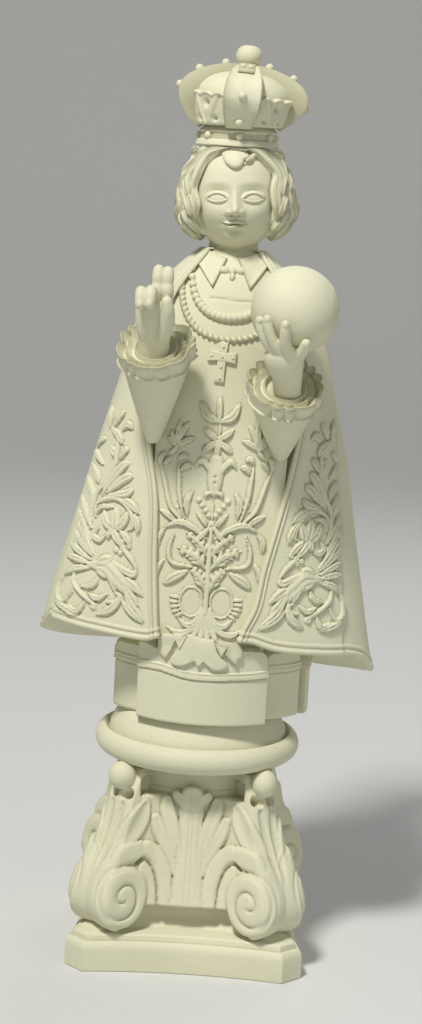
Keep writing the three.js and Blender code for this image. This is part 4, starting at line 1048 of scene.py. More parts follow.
def forelock():
    """A smooth comma of hair over the brow and a small twisted curl beside it."""
    profile = [(1, -1.5), (1, 0.6), (0.97, 1.4), (0.9, 2), (0.76, 2.5), (0.56, 2.8), (0.34, 2.9), (0.15, 2.9)]
    shape = slab(closed_curve(FORELOCK, 120), brow_spot, profile)
    t = np.linspace(0, 1, 40)
    x, z = mix(4.4, 14.2, t), 15.4 + 4.6 * t + 1.1 * np.sin(t * math.pi)
    middle = brow_spot(x, z, 0.9)
    for start in (0, math.pi):
        turn = start + 7.4 * t
        offset = np.stack([0.5 * np.cos(turn), -0.9 * np.sin(turn), 0.95 * np.cos(turn)], axis=1)
        shape.join(tube(middle + offset, [0.7, 1.15, 1.3, 1.2, 0.9], 16, count=60, lead=(0, 0, 1)))
    return shape


hair_width = track([
    (-26, 12), (-22, 15.4), (-19, 18.6), (-15, 22.8), (-9, 26.8), (-2, 27.2), (3, 26.2), (9, 25.6),
    (16, 22.7), (23, 20.2),
])
HAIR_LOCKS = 17
HAIR_TOP = FIGURE_HEIGHT - HEAD_CENTRE[2] + 1.3


def hair_mass():
    """The hair's body: wavy locks with fine strands that part over the brow and end in ragged tips."""
    a = np.linspace(-math.pi, math.pi, 440, endpoint=False)
    turn = np.abs(a)
    low = -19.6 + 1.4 * np.sin(9 * a + 0.5) + 0.9 * np.sin(17 * a)
    rings = []
    for t in np.linspace(0, 1, 128):
        z = mix(low, HAIR_TOP, t)
        lean = 0.5 * smooth_step(6, 24, z) * np.sign(a) * (1 - (turn / math.pi) ** 2)
        wave = 0.15 * np.sin(0.46 * z + 1.4 * np.sin(2 * a)) + 0.05 * np.sin(0.95 * z + 3 * a)
        phase = HAIR_LOCKS * (a + lean + wave)
        lock = np.abs(np.sin(phase / 2)) ** 0.6
        roll = np.sin(0.52 * z + 2.4 * np.sin(3 * a + 0.6))
        lift = 2.1 * (lock - 0.7) + 0.46 * np.cos(5 * phase) * lock + 0.9 * roll
        calm = mix(1, 0.35, smooth_step(HAIR_TOP - 4, HAIR_TOP, z))
        hairline = mix(0.86, 0.34, np.clip((z - 7) / 15, 0, 1) ** 1.4)
        face = smooth_step(hairline + 0.02, hairline - 0.06, turn) * (z < HAIR_TOP - 2.8)
        half = mix((hair_width(z) + lift * calm) * mix(0.8, 1, smooth_step(0, 0.07, t)), 14, face)
        depth = np.where(np.cos(a) > 0, half * mix(FRONT_FLATNESS, 1, face), half)
        rings.append(np.stack([half * np.sin(a), -depth * np.cos(a), z], axis=1))
    return loft(rings)


def hair_lock(points, radii, ridges=4):
    return tube(points, radii, 24, 0.72, count=40, ridges=ridges, ridge=0.2)


def on_hair(degrees, z, out):
    turned = math.radians(degrees)
    r = hair_width(z) - 0.6 + out
    flatness = FRONT_FLATNESS if abs(degrees) < 90 else 1
    return (r * math.sin(turned), -r * flatness * math.cos(turned), z)


def face_strands(side):
    """Long strands that sweep round the face from the parting."""
    shape = Shape()
    for k in range(3):
        spread = 2.2 * k * np.array([0.5, 0.8, 0.9, 1, 1, 1, 1])
        x = np.array([3.5, 10.6, 15.6, 18.6, 19.6, 19.8, 19]) + spread
        z = (HAIR_TOP - 0.2, 20.6, 16.4, 10.4, 3, -4.6, -11 - 2.2 * k)
        points = []
        for i in range(7):
            reach = hair_width(z[i]) + 0.6
            across = min(x[i] + 1.1 * math.sin(2.3 * i + 0.9 * k + side), reach * 0.985)
            ahead = FRONT_FLATNESS * math.sqrt(reach**2 - across**2) + 0.6 - 0.5 * k
            points.append((side * across, -ahead, z[i]))
        shape.join(hair_lock(points, [0.8, 1.5, 1.9, 1.9, 2.1, 2.0, 0.6]))
    return shape


def side_locks(side):
    """Waved locks that stand out from the sides."""
    shape = Shape()
    for k, high in enumerate((12, 7, 14, 5)):
        points = []
        for i, t in enumerate(np.linspace(0, 1, 7)):
            angle = 66 + 17 * k + 5 * math.sin(1.5 * i + 1.3 * k + side)
            out = 0.4 + 0.9 * math.sin(1.5 * i + k)
            points.append(on_hair(side * angle, mix(high, -16 - k % 2, t), out))
        shape.join(hair_lock(points, [0.5, 2.2, 2.9, 2.7, 2.9, 2.3, 0.5], 5))
    return shape


def jaw_curls(side):
    """Curled ends in front of the jaw and beside the cheeks."""
    shape = Shape()
    for j, (degrees, z) in enumerate(((52, 4), (50, -5.5), (55, -12.5), (70, -15.5), (88, -16.5))):
        end = -4.4 + 1.2 * (j % 2)
        bends = [(12, 6.4, 0.2), (5, 4.4, 1.7), (-1, 0.6, 2.4), (-2, -3, 1.9), (3, end, 1), (8, -2, 1.2)]
        points = [on_hair(side * (degrees + turn), z + up, out) for turn, up, out in bends]
        shape.join(hair_lock(points, [0.6, 1.8, 2.1, 2.0, 1.4, 0.5]))
    return shape


def hair():
    """Waved hair that parts over the brow, sweeps back from the face and ends in curls at the jaw."""
    shape = hair_mass().join(forelock())
    for side in (-1, 1):
        shape.join(face_strands(side)).join(side_locks(side)).join(jaw_curls(side))
    placed = tilted(shape)
    points = np.concatenate(placed.points)
    points[:, 2] = np.minimum(points[:, 2], FIGURE_HEIGHT)
    return Shape().add(points, placed.faces)


# Collar, necklace, cord and cross


def collar():
    """Two pointed flaps that meet over a small knot."""

    def place(across, height, lift):
        return on_robe(across, height) + robe_normal(across, height) * lift

    shape = Shape()
    profile = [(1, -2.5), (1, 1.0), (0.96, 1.5), (0.88, 1.6), (0.8, 1.35), (0.4, 1.3)]
    corners = [(2.6, 224.6), (8.8, 211), (16.6, 221.6), (14.5, 228.8)]
    for side in (-1, 1):
        flap = polygon([(side * across, height) for across, height in corners], 12)
        shape.join(slab(flap[::-side], place, profile))
    knot = [(-3.8, 219.6, (2.5, 1.9, 2.0)), (0.2, 219.2, (1.9, 2.2, 2.2)), (4.2, 219.6, (2.5, 1.9, 2.0))]
    for across, height, radii in knot:
        shape.join(ball(on_robe(across, height), radii, 24, 14))
    shape.join(ball(on_robe(0.2, 216.6), (1.5, 1.7, 2.2), 20, 12))
    return shape


# A string's half width, lowest height and height at the shoulders.
NECKLACE = (19, 197.6, 219)
CORD = (23.5, 187.5, 212)


def hanging(half_width, low, high, t):
    """Place across and height of a string that hangs round the neck, for t from -1 to 1."""
    return half_width * np.sin(t * math.pi / 2), mix(low, high, np.abs(t) ** 2.2)


def bead_necklace():
    """A string of beads that touch, small at the shoulders and larger at the middle."""
    shape = Shape()
    for t in np.linspace(-1, 1, 25):
        across, height = hanging(*NECKLACE, t)
        size = mix(2.5, 1.7, abs(t) ** 1.5)
        centre = on_robe(across, height) + robe_normal(across, height) * 0.5
        shape.join(ball(centre, (size, size, size * 0.95), 18, 12))
    string = on_robe(*hanging(*NECKLACE, np.linspace(-1, 1, 60)))
    return shape.join(tube(string, [1.2, 1.2], 10, count=120, lead=(0, 0, 1)))


def twisted_cord():
    """The cord that the cross hangs on, with a twisted section."""
    across, height = hanging(*CORD, np.linspace(-1, 1, 300))
    out = robe_normal(across, height)
    path = on_robe(across, height) + out * 0.4
    side = np.cross(unit(np.gradient(path, axis=0)), out)
    length = np.concatenate([[0], np.cumsum(np.linalg.norm(np.diff(path, axis=0), axis=1))])
    a = angles(18)
    radius = 1.4 * (1 + 0.3 * np.cos(2 * a[None] + length[:, None] * 2.2))
    return loft(rings_round(path, side, out, radius, a))


CROSS_CENTRE = (-2.6, 179.4)
CROSS_LEAN = 0.07


def cross():
    """A plain cross with flared ends and raised studs, hung a little askew."""

    def place(u, v, lift):
        x = CROSS_CENTRE[0] + u * math.cos(CROSS_LEAN) + v * math.sin(CROSS_LEAN)
        z = CROSS_CENTRE[1] - u * math.sin(CROSS_LEAN) + v * math.cos(CROSS_LEAN)
        return on_robe(x, z) + np.array([0, -lift, 0])

    shape = Shape()
    profile = [(1, -1), (1, 1.1), (0.95, 1.5), (0.86, 1.7), (0.5, 1.7)]
    long_bar = [(2.4, -12.4), (2.1, -9), (2.1, 4), (2.3, 7.4)]
    cross_bar = [(4.6, -2.2), (6.9, -2.6), (6.9, 2.6), (4.6, 2.2)]
    for half, proud in ((long_bar, 0), (cross_bar, 0.15)):
        outline = polygon(half + mirrored(half), 6)
        shape.join(slab(outline, place, [(share, lift + proud) for share, lift in profile]))
    for u, v in ((0, -10.2), (0, -4.8), (0, 0), (0, 4.8), (-5.1, 0), (5.1, 0)):
        shape.join(ball(place(u, v, 1.7), 0.75, 14, 10))
    return shape


def build_figure():
    left_cuff, right_cuff = np.array([-28.7, -57, 186]), np.array([33, -56, 171])
    pieces = {
        "cloak": cloak(), "robe.front": robe_front(), "apron": apron(), "skirt": skirt(), "globe": globe(),
        "neck": neck(), "head": head(), "hair": hair(), "collar": collar(), "necklace": bead_necklace(),
        "cord": twisted_cord(), "cross": cross(),
        "sleeve.left": sleeve(left_cuff, (-0.1, -0.57, 0.82), np.array([-28.6, -33, 138]), 0.4),
        "sleeve.right": sleeve(right_cuff, (0.08, -0.6, 0.8), np.array([33, -32, 133]), 1.9),
        "hand.blessing": blessing_hand(np.array([-29.4, -61, 188.7])),
        "hand.holding": holding_hand(np.array([34, -62, 172])),
    }
    for name, shape in pieces.items():
        add_piece(name, "figure", shape, (0, 0, FIGURE_BASE))


# Crown: heights are measured from the underside of its band

# Radius and height: the crown's band, the bowl of leaves, the cap inside it, and an arch.
BAND = [
    (19.6, 0), (20.2, 0.5), (20.2, 1.4), (19.7, 1.9), (19.7, 2.5), (19.2, 3), (18.3, 3.3), (18.2, 6.2),
    (18.7, 6.6), (19, 7.2), (18.6, 7.8), (17.6, 8.4), (17, 9.1), (17, 9.5),
]
CUP = [(20.6, 9.7), (21.6, 10.2), (22.4, 12.5), (23.6, 16), (24.6, 20), (25, 24), (24.6, 27)]
CAP = [
    (20.6, 9.7), (21.6, 13), (22.9, 19), (23.6, 23), (22.8, 26.8), (20.2, 30.2), (16, 32.9), (10, 34.8),
    (4, 35.5), (0.5, 35.6),
]
ARCH = [
    (19.4, 8.4), (24.2, 12), (28.6, 17.2), (30.8, 22.8), (29.2, 29), (23.6, 33.6), (15.8, 36.9),
    (7.6, 38.5), (0, 38.9),
]
ARCH_HALF_WIDTHS = [(0, 6.2), (1.2, 7.6), (2.6, 9), (4, 8.8), (5.5, 7.2), (7, 5), (8, 4)]
ARCH_STEPS = 60
ARCH_MIDDLE = (0, 20)
# One side of an arch's section with its raised rim, its crest, and one side of the plaque's section.
ARCH_SIDE = [(-1, 0.66), (-1, 0.985), (-0.97, 1.01), (-0.91, 1.014), (-0.86, 1.0), (-0.4, 1.004)]
ARCH_CREST = (0, 1.008)
PLAQUE_SIDE = [(-1, 0.9), (-1, 1.03), (-0.9, 1.045)]
PLAQUE_HALF = 3.9
# Steps of an arch that the plaque covers, and the one where its studs stand.
PLAQUE_STEPS = slice(38, 56)
PLAQUE_STUD_STEP = 43
# Degrees on each side of an arch's middle that the leaves fill.
LEAF_SPREAD = 34
# Steps of each arch that carry a stud.
STUDS = [(7, 23), (20, 38, 49), (7, 23), (26, 38, 49)]
BAND_BEADS = 7
BEAD_CIRCLE_RADIUS = 18.9
BALL_RADIUS = 6.3
BALL_HALF_HEIGHT = 5.2


def strip(path, widths, section):
    """A curved strip across a path of radius and height: its section holds shares of half width and depth."""
    rows = []
    for (r, z), half in zip(path, widths):
        rows.append([(s * half, -mix(ARCH_MIDDLE[0], r, d), mix(ARCH_MIDDLE[1], z, d)) for s, d in section])
    return loft(np.array(rows)[:, ::-1])


def crown_bowl():
    """The band, the upright leaves and the cap that they stand round."""
    a = angles(272)
    away = np.abs(np.degrees(a % (TAU / 4) - TAU / 8))
    cap_radius = track([(z, r) for r, z in CAP])
    cup_radius = track([(z, r) for r, z in CUP])
    scallops = 1.5 * np.abs(np.cos(away * math.pi / 17)) ** 0.8
    head = 23 - 2.4 * smooth_step(24, LEAF_SPREAD, away) + scallops
    rings = [ring_of(radius, z, a) for radius, z in BAND]
    for z in np.concatenate([np.linspace(9.7, 27, 66), np.linspace(27.4, 35.6, 24)]):
        leaf = smooth_step(head + 0.25, head - 0.25, z) * (away < LEAF_SPREAD)
        t = (z - 10) / 14
        vee = 0.9 * bell(away - 3 - 15 * t, 2.4) * (t < 1.1)
        drop = -2.2 * bump(away, z, 0, 19, 4, 1.7)
        side_drop = -1.8 * bump(away, z, 27, 19.4, 3, 1.8)
        spots = -1.6 * bump(away, z, 13, 12.4, 3, 1.1)
        lip = 0.8 * bell(z - head + 0.9, 0.8)
        carved = cup_radius(z) + vee + drop + side_drop + spots + lip
        rings.append(ring_of(mix(cap_radius(z), carved, leaf), z, a))
    return loft(rings)


def crown_arches():
    """Four broad arches with studs, two of them with a small plaque under the ball."""
    path = spline(ARCH, ARCH_STEPS)
    widths = track(ARCH_HALF_WIDTHS)(np.linspace(0, len(ARCH) - 1, ARCH_STEPS))
    lean = np.gradient(path, axis=0)
    out = unit(np.stack([lean[:, 1], -lean[:, 0]], axis=1))
    arch = strip(path, widths, ARCH_SIDE + [ARCH_CREST] + mirrored(ARCH_SIDE))
    arches = Shape()
    for quarter, studs in enumerate(STUDS):
        shape = Shape().join(arch)
        for place in studs:
            r, z = path[place] + 0.7 * out[place]
            shape.join(ball((0, -r, z), 2.0, 20, 14))
        if quarter % 2 == 0:
            plaque_path = path[PLAQUE_STEPS]
            section = PLAQUE_SIDE + mirrored(PLAQUE_SIDE)
            shape.join(strip(plaque_path, [PLAQUE_HALF] * len(plaque_path), section))
            r, z = path[PLAQUE_STUD_STEP]
            for x in (-1.8, 1.8):
                shape.join(ball((x, -r - 0.9, z + 1.1), 1.25, 14, 10))
        arches.join(shape.moved(degrees=90 * quarter))
    return arches


def crown():
    """A beaded band, a bowl of upright leaves round a cap, and four broad arches under a ball."""
    shape = crown_bowl().join(crown_arches())
    for k in range(BAND_BEADS):
        turn = k / BAND_BEADS * TAU + 0.05
        centre = (BEAD_CIRCLE_RADIUS * math.sin(turn), -BEAD_CIRCLE_RADIUS * math.cos(turn), 4.8)
        shape.join(ball(centre, (1.75, 1.75, 1.9), 18, 12))
    swing = np.linspace(-0.47, 0.47, 40) * math.pi
    middle = CROWN_HEIGHT - BALL_HALF_HEIGHT
    profile = [(BALL_RADIUS * math.cos(t) ** 0.72, middle + BALL_HALF_HEIGHT * math.sin(t)) for t in swing]
    shape.join(lathe(profile, 64))
    points = np.concatenate(shape.points)
    settle = np.clip((points[:, 2] - 9.5) / 12, 0, 1)
    points[:, 2] -= CROWN_LEAN * 0.8 * points[:, 0] * settle
    points[:, 0] += CROWN_LEAN * points[:, 2]
    return Shape().add(points, shape.faces)


# Pedestal


def hollow_square(half, chamfer, hollow, z):
    """A square with chamfered corners and hollowed sides."""
    t = np.linspace(-1, 1, 41)
    side = np.stack([t * (half - chamfer), -half + hollow * (1 - t * t), np.full_like(t, z)], axis=1)
    return np.concatenate([turned_about_z(side, 90 * k) for k in range(4)])


# The plinth from the ground up: how far a ring stands in from the widest one, how much deeper its sides
# are hollowed, and its height.
PLINTH_STEPS = [
    (0.5, 0, 0), (0, 0, 0.6), (0, 0, 10.6), (0.3, 0, 12.6), (1, 0, 14), (1.9, 0, 14.9), (2.5, 0, 15.1),
    (3, 0.1, 14.7), (3.4, 0.3, 14.8), (3.5, 0.5, 15.4), (3.6, 0.9, 17.2), (4, 1.4, 17.9),
    (4.7, 2.5, 18.2), (5.9, 5.1, 18.4), (7.5, 7.7, 18.7),
]


def plinth():
    """The plinth with its rounded upper edge, a fine line and the slab that slopes back over it."""
    return loft([
        hollow_square(PLINTH_HALF - inset, PLINTH_CHAMFER - inset * 0.6, PLINTH_HOLLOW + deeper, z)
        for inset, deeper, z in PLINTH_STEPS
    ])


def base_block():
    """The slope between the slab and the recess under the leaves."""
    steps = [(52, 12.4, 18), (50, 12, 19.4), (46, 10, 21.4), (43, 8, 23.6), (40, 5.5, 26.5), (38, 4.5, 30)]
    return loft([hollow_square(half, BLOCK_CHAMFER, hollow, z) for half, hollow, z in steps])


# How far a console reaches from the axis, by height above the block.
console_edge = track([
    (0, CONSOLE_REACH - 12), (4, CONSOLE_REACH - 4), (14, CONSOLE_REACH), (30, CONSOLE_REACH - 4.5),
    (50, CONSOLE_REACH - 13.5), (66, CONSOLE_REACH - 18.5), (CONSOLE_RISE, CONSOLE_REACH - 25),
])
DIAGONAL = math.sqrt(0.5)
SPINE_COLUMNS = 22
FACE_COLUMNS = 119
SIDE_SLOPE = 0.7
SPINE_ROUNDING = 2.2
PANEL_BOTTOM = 31.2
PANEL_TOP = 84.6
RECESS_DEPTH = 9


def console_half(z):
    return mix(CONSOLE_HALF, CONSOLE_HALF * 0.62, np.clip((z - BLOCK_TOP) / CONSOLE_RISE, 0, 1))


def spine_corner(z):
    """How far the edge between a console's spine and the front face stands from the middle."""
    return (console_edge(z - BLOCK_TOP) - SPINE_ROUNDING - console_half(z)) * DIAGONAL


def face_depth(x, z):
    """How far the front face stands from the axis: a flat panel that sweeps out to the consoles."""
    side = (console_edge(z - BLOCK_TOP) - SPINE_ROUNDING + console_half(z)) * DIAGONAL
    side = side - (spine_corner(z) - np.abs(x)) * SIDE_SLOPE
    rise = np.clip((z - PLINTH_TOP - 16) / 55, 0, 1)
    panel = mix(PANEL_BASE_DEPTH, PANEL_TOP_DEPTH, rise)
    return (panel + side + np.sqrt((panel - side) ** 2 + 9)) / 2


def face_spot(x, z):
    """A point of the pedestal's front by place across and height, on the face or on a console's spine."""
    corner = spine_corner(z)
    if abs(x) <= corner:
        return np.array([x, -face_depth(x, z), z])
    reach = console_edge(z - BLOCK_TOP) * DIAGONAL
    return np.array([x, -2 * reach + abs(x), z])


# Carving of one half of a face, by distance from the middle and height: path, half widths, rise and hollow.
FACE_LEAVES = [
    ([(22.8, 80.4), (25.4, 74), (29.6, 67), (36, 61.5), (42, 56)], [2.8, 5.6, 5.6, 3.4, 1.2], 2.8, 0.85),
    ([(17.4, 73.4), (15.4, 67.4), (11.8, 60.4), (8.8, 54), (7.2, 47)], [2.4, 3.7, 3.4, 2.2, 1], 3.2, 0.35),
    ([(12.6, 82.4), (11.6, 76), (8.9, 68), (6.8, 60), (6, 53)], [2.7, 4, 3.8, 2.6, 1], 3.6, 0.35),
    ([(22.6, 51), (20.8, 46), (18.8, 39), (18, 31.5)], [2.2, 3.9, 3.5, 3], 2.2, 0.15),
    ([(25, 58.2), (30, 57.6), (36, 54.4), (41.4, 48.6), (44, 42)], [5.4, 5.4, 4.4, 3, 1.4], 2.4, 0.1),
    ([(20.8, 58.4), (16.2, 54.8), (12.6, 47.6), (11, 40), (10.8, 31)], [4.7, 4.6, 4.3, 3.9, 3.7], 2.6, 0.1),
    ([(0, 80), (0, 70), (0, 52), (0, 30)], [6.6, 6.0, 6.8, 8.8], 2.7, 0),
]
# Lines down the middle leaf, with their depths.
STEM_LINES = [([(0.9, 84), (0.9, 62), (1.3, 32)], 0.4), ([(4.6, 79), (3.8, 62), (4.8, 32)], 0.3)]
# The hole where the leaves meet, and by place beside the spine its flute and the hollow under its knob.
LEAF_HOLE = [(23, 54.2), (25.8, 51.8)]
SPINE_FLUTE = [(3.6, 80), (2, 46)]
UNDER_KNOB = [(3.8, 85.4), (5.6, 86)]
# One half of the middle leaf's head, from its top down, by place across and height.
HEAD_LOBES = [
    (0, 91.4), (2.6, 90.9), (4.6, 89), (5.6, 87), (7.6, 88), (9.8, 86.9), (10.2, 84.4), (8.4, 82),
    (6.2, 79.8), (4.8, 77), (4, 73.5), (0, 73),
]
VOLUTE_CENTRE = (31.9, 36.4)
VOLUTE_RADII = (11.4, 15)
VOLUTE_PITCH = 0.56
VOLUTE_START = math.radians(65)


def spine_spot(aside, z):
    """A point on the spine of the console at the left, beside its middle line."""
    reach = console_edge(z - BLOCK_TOP)
    return np.array([-(reach - aside) * DIAGONAL, -(reach + aside) * DIAGONAL, z])


def carve_side(relief, side):
    """The grooves and holes of one half of a face and of the spine beside it."""
    turn = np.array([-side, 1, 1])

    def path(points):
        return [face_spot(side * away, height) for away, height in points]

    for points, depth in STEM_LINES:
        relief.groove(path(points), 0.6, depth, tips=(0.8, 0.8))
    relief.groove(path(LEAF_HOLE), 1.6, 6, tips=(0.8, 0.6))
    start, end = np.array(SPINE_FLUTE)
    flute = [spine_spot(*mix(start, end, t)) * turn for t in np.linspace(0, 1, 6)]
    relief.groove(flute, 2.8, 1.4, tips=(0.8, 0.15))
    relief.groove([spine_spot(aside, z) * turn for aside, z in UNDER_KNOB], 3.2, 8, tips=(0.95, 0.95))


def volute_lift(across, upward, outward):
    """A flat roll that winds in from the console's top round a raised eye, and the line along its edge."""
    reach = np.hypot(across, upward)
    turn = np.arctan2(upward, -across)
    winding = (1 - reach) / VOLUTE_PITCH - (turn - VOLUTE_START) / TAU
    phase = winding - np.floor(winding)
    cut = np.minimum(phase, 1 - phase) * VOLUTE_PITCH * VOLUTE_RADII[0]
    inside = smooth_step(0.99, 0.86, reach)
    roll = 2.8 + 0.5 * np.sin(math.pi * phase) ** 0.8 * inside - 1.0 * bell(cut, 0.6) * inside
    eye = 3.4 * np.sqrt(np.clip(1 - (reach / 0.2) ** 2, 0, 1))
    edge = 0.9 * bell((reach - 1.02) * VOLUTE_RADII[0], 0.9) * outward * smooth_step(-0.3, 0.5, upward)
    return np.maximum(roll, eye), edge


def carve_face(relief):
    """The carving of one face: an acanthus in the middle, and leaves, flute and volute on each console."""
    for side in (-1, 1):
        for points, widths, rise, hollow in FACE_LEAVES:
            path = [face_spot(side * away, height) for away, height in points]
            relief.stroke(path, widths, rise, hollow=hollow, crease=0.3)
    away, z = np.abs(relief.points[:, 0]), relief.points[:, 2]
    across = (away - VOLUTE_CENTRE[0]) / VOLUTE_RADII[0]
    upward = (z - VOLUTE_CENTRE[1]) / VOLUTE_RADII[1]
    reach = np.hypot(across, upward)
    outward = smooth_step(-0.15, 0.25, across)
    swelling = 2.4 * smooth_step(1.8, 0.9, reach) * outward
    relief.lift = np.where(swelling > 0.01, np.maximum(relief.lift, swelling), relief.lift)
    for side in (-1, 1):
        carve_side(relief, side)
    inner = smooth_step(0.1, -0.1, across) * (reach > 1)
    under_panel = smooth_step(PANEL_BOTTOM, PANEL_BOTTOM - 0.9, z) * inner
    over_panel = smooth_step(PANEL_TOP, PANEL_TOP + 0.7, z) * smooth_step(25.5, 24.5, away)
    plain = relief.lift * (1 - under_panel) * (1 - over_panel) - RECESS_DEPTH * (under_panel + over_panel)
    disc, edge = volute_lift(across, upward, outward)
    relief.lift = mix(plain, np.maximum(disc, plain * (across > 0)), smooth_step(1.05, 0.96, reach)) - edge


def body_quarter():
    """One quarter of the pedestal's carved body, from one console's middle to the next."""
    z = np.concatenate([np.arange(BLOCK_TOP, 92, 0.64), [93, 94.5, 96, 97.5]])[:, None]
    reach, half, corner = console_edge(z - BLOCK_TOP), console_half(z), spine_corner(z)
    spine = np.linspace(0, 0.96, SPINE_COLUMNS)[None]
    along = reach - SPINE_ROUNDING * spine**4
    aside = spine * half
    left = np.stack([-(along - aside) * DIAGONAL, -(along + aside) * DIAGONAL, z + 0 * aside], axis=-1)
    x = corner * np.linspace(-1, 1, FACE_COLUMNS)[None]
    front = np.stack([x, -face_depth(x, z + 0 * x), z + 0 * x], axis=-1)
    right = left[:, ::-1] * [-1, 1, 1]
    grid = np.concatenate([left, front, right[:, :-1]], axis=1)
    relief = Relief(grid)
    carve_face(relief)
    return relief.result()


def acanthus_head():
    """The three-lobed head of the middle leaf, free in front of the neck."""

    def place(x, z, lift):
        lines = 0.45 * bell(np.abs(x) - 0.9, 0.45) * smooth_step(90, 86, z)
        depth = PANEL_TOP_DEPTH + 1.6 + lift + 0.1 * (z - 72) ** 1.3 - 0.03 * x * x - lines
        return np.stack([x, -depth, z], axis=-1)

    outline = HEAD_LOBES + mirrored(HEAD_LOBES[1:-1])
    profile = [
        (0.9, -4), (1, 0), (1.0, 1.3), (0.97, 1.9), (0.92, 2.15), (0.8, 2.3), (0.65, 2.4), (0.5, 2.45),
        (0.35, 2.5), (0.2, 2.5), (0.1, 2.5),
    ]
    return slab(closed_curve(outline, 160), place, profile)


def carved_body():
    """The body's carved sides, closed under the leaves and over them, with the leaf heads."""
    quarter = body_quarter()
    turned = [turned_about_z(quarter.reshape(-1, 3), 90 * k).reshape(quarter.shape) for k in range(4)]
    rings = np.concatenate(turned, axis=1)
    inward = rings[-1:] * [0.6, 0.6, 1]
    under = rings[:1] * [0.5, 0.5, 1] + [0, 0, 1]
    shape = loft(np.concatenate([under, rings, inward]))
    for quarter_turn in range(4):
        shape.join(acanthus_head().moved(degrees=90 * quarter_turn))
    return shape


def knobs():
    """The ball over each console."""
    shape = Shape()
    knob = ball((KNOB_REACH * DIAGONAL, -KNOB_REACH * DIAGONAL, KNOB_HEIGHT), KNOB_RADII, 40, 26)
    for quarter in range(4):
        shape.join(knob.moved(degrees=90 * quarter))
    return shape


def octagonal_neck():
    steps = [
        (NECK_RADIUS - 2, NECK_BASE - 6), (NECK_RADIUS + 0.9, NECK_BASE - 5),
        (NECK_RADIUS + 0.9, NECK_BASE + 0.6), (NECK_RADIUS, NECK_BASE + 1),
        (NECK_RADIUS, TORUS_BASE + 2),
    ]
    return loft([polygon(ring_of(radius, z, angles(8))) for radius, z in steps])


def torus():
    """The round top: a roll, a groove over it and a slope up to the flat that the robe stands on."""
    half = (TORUS_TOP - TORUS_BASE) / 2
    bulge = [
        (TORUS_RADIUS - 6 + 6 * math.cos(t), TORUS_BASE + half + half * math.sin(t))
        for t in np.linspace(-0.4, 0.42, 20) * math.pi
    ]
    under = [(2.5, -2), (3.2, -1.4), (5.6, -0.6), (6.2, 0.2)]
    groove = [(0.3, -1.5), (-0.3, -2.2), (-0.8, -1.4), (-1, 0.2)]
    slope = [(-1.7, 2), (-2.8, 4.3), (-4.1, 6.6), (-5.5, 8.8), (-6.7, 10.3)]
    profile = [
        (20, TORUS_BASE - 2), *[(NECK_RADIUS + out, TORUS_BASE + up) for out, up in under],
        *bulge, *[(GROOVE_RADIUS + out, TORUS_TOP + up) for out, up in groove + slope],
        (CUSHION_TOP_RADIUS - 1, PEDESTAL_TOP), (20, PEDESTAL_TOP),
    ]
    return lathe(profile, 160)


def build_pedestal():
    add_piece("pedestal.base", "pedestal", plinth().join(base_block()), crisp=26)
    add_piece("pedestal.torus", "pedestal", octagonal_neck().join(torus()))
    add_piece("pedestal.body", "pedestal", carved_body(), crisp=70)
    add_piece("pedestal.knobs", "pedestal", knobs())


build_figure()
add_piece("crown", "crown", crown(), CROWN_PLACE)
build_pedestal()


# Camera: it stands in front and a little above, turned as the photograph is

CAMERA_DISTANCE = 1075
CAMERA_HEIGHT = 404
CAMERA_SHIFT = 0.6
CAMERA_YAW = math.radians(1.0)
CAMERA_PITCH = math.radians(9.61)
CAMERA_ROLL = math.radians(3.24)
SENSOR_WIDTH = 36
FOCAL_LENGTH_PX = 2185
PICTURE_HEIGHT_PX = 1024
CAMERA_LENS = FOCAL_LENGTH_PX / PICTURE_HEIGHT_PX * SENSOR_WIDTH


def add_camera():
    yaw, pitch, roll = CAMERA_YAW, CAMERA_PITCH, CAMERA_ROLL
    across, back = CAMERA_DISTANCE * math.sin(yaw) + CAMERA_SHIFT, CAMERA_DISTANCE * math.cos(yaw)
    place = Vector((across, -back, CAMERA_HEIGHT)) * MM
    ahead = Vector((-math.sin(yaw) * math.cos(pitch), math.cos(yaw) * math.cos(pitch), -math.sin(pitch)))
    level = ahead.cross(Vector((0, 0, 1))).normalized()
    above = level.cross(ahead)
    right = level * math.cos(roll) + above * math.sin(roll)
    up = above * math.cos(roll) - level * math.sin(roll)
    data = bpy.data.cameras.new("camera")
    data.lens = CAMERA_LENS
    data.sensor_width = SENSOR_WIDTH
    camera = bpy.data.objects.new("camera", data)
    turn = Matrix((right, up, -ahead)).transposed().to_4x4()
    camera.matrix_world = Matrix.Translation(place) @ turn
    bpy.context.scene.collection.objects.link(camera)
    bpy.context.scene.camera = camera


# Floor and light


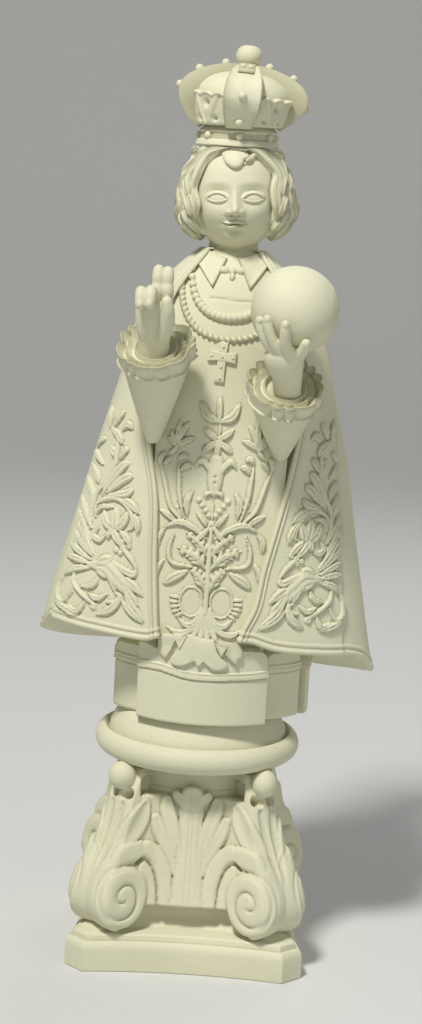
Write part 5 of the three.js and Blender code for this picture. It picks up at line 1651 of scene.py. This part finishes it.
def add_floor():
    """A pale floor that curves up into a plain backdrop, in metres."""
    half, back, radius, top = 6, 1.6, 1.2, 5
    turns = np.linspace(0, math.pi / 2, 24)
    bend = [(back + radius * math.sin(t), radius * (1 - math.cos(t))) for t in turns]
    profile = [(-half, 0), *bend, (back + radius, top)]
    points = [(x, y, z) for y, z in profile for x in (-half, half)]
    mesh = bpy.data.meshes.new("floor")
    mesh.from_pydata(points, [], grid_faces(len(profile), 2, closed=False))
    mesh.shade_smooth()
    made = bpy.data.materials.new("floor")
    made.use_nodes = True
    nodes, links = made.node_tree.nodes, made.node_tree.links
    shader = nodes["Principled BSDF"]
    shader.inputs["Roughness"].default_value = 0.9
    cloud = nodes.new("ShaderNodeTexNoise")
    cloud.inputs["Scale"].default_value = 3
    tone = nodes.new("ShaderNodeValToRGB")
    tone.color_ramp.elements[0].color = (0.60, 0.60, 0.59, 1)
    tone.color_ramp.elements[1].color = (0.64, 0.64, 0.63, 1)
    links.new(cloud.outputs["Fac"], tone.inputs["Fac"])
    links.new(tone.outputs["Color"], shader.inputs["Base Color"])
    mesh.materials.append(made)
    floor = bpy.data.objects.new("floor", mesh)
    bpy.context.scene.collection.objects.link(floor)


def add_light(name, place, aim, size, power, colour=(1, 1, 1)):
    data = bpy.data.lights.new(name, "AREA")
    data.size = size
    data.energy = power
    data.color = colour
    light = bpy.data.objects.new(name, data)
    light.location = place
    light.rotation_euler = (Vector(aim) - Vector(place)).to_track_quat("-Z", "Y").to_euler()
    bpy.context.scene.collection.objects.link(light)


def add_lights():
    middle = (0, 0, 0.22)
    add_light("key", (-0.62, -1.25, 2.3), middle, 0.36, 60, (1, 0.99, 0.95))
    add_light("fill", (1.1, -1.2, 0.6), middle, 1.2, 3.2, (0.98, 0.98, 0.98))
    add_light("rim", (0.5, 0.9, 1.0), middle, 0.8, 3.5, (0.96, 0.98, 1))
    world = bpy.data.worlds.new("studio")
    world.use_nodes = True
    world.node_tree.nodes["Background"].inputs["Color"].default_value = (0.83, 0.83, 0.81, 1)
    world.node_tree.nodes["Background"].inputs["Strength"].default_value = 0.28
    bpy.context.scene.world = world


add_camera()
add_floor()
add_lights()
bpy.context.scene.view_settings.view_transform = "Standard"
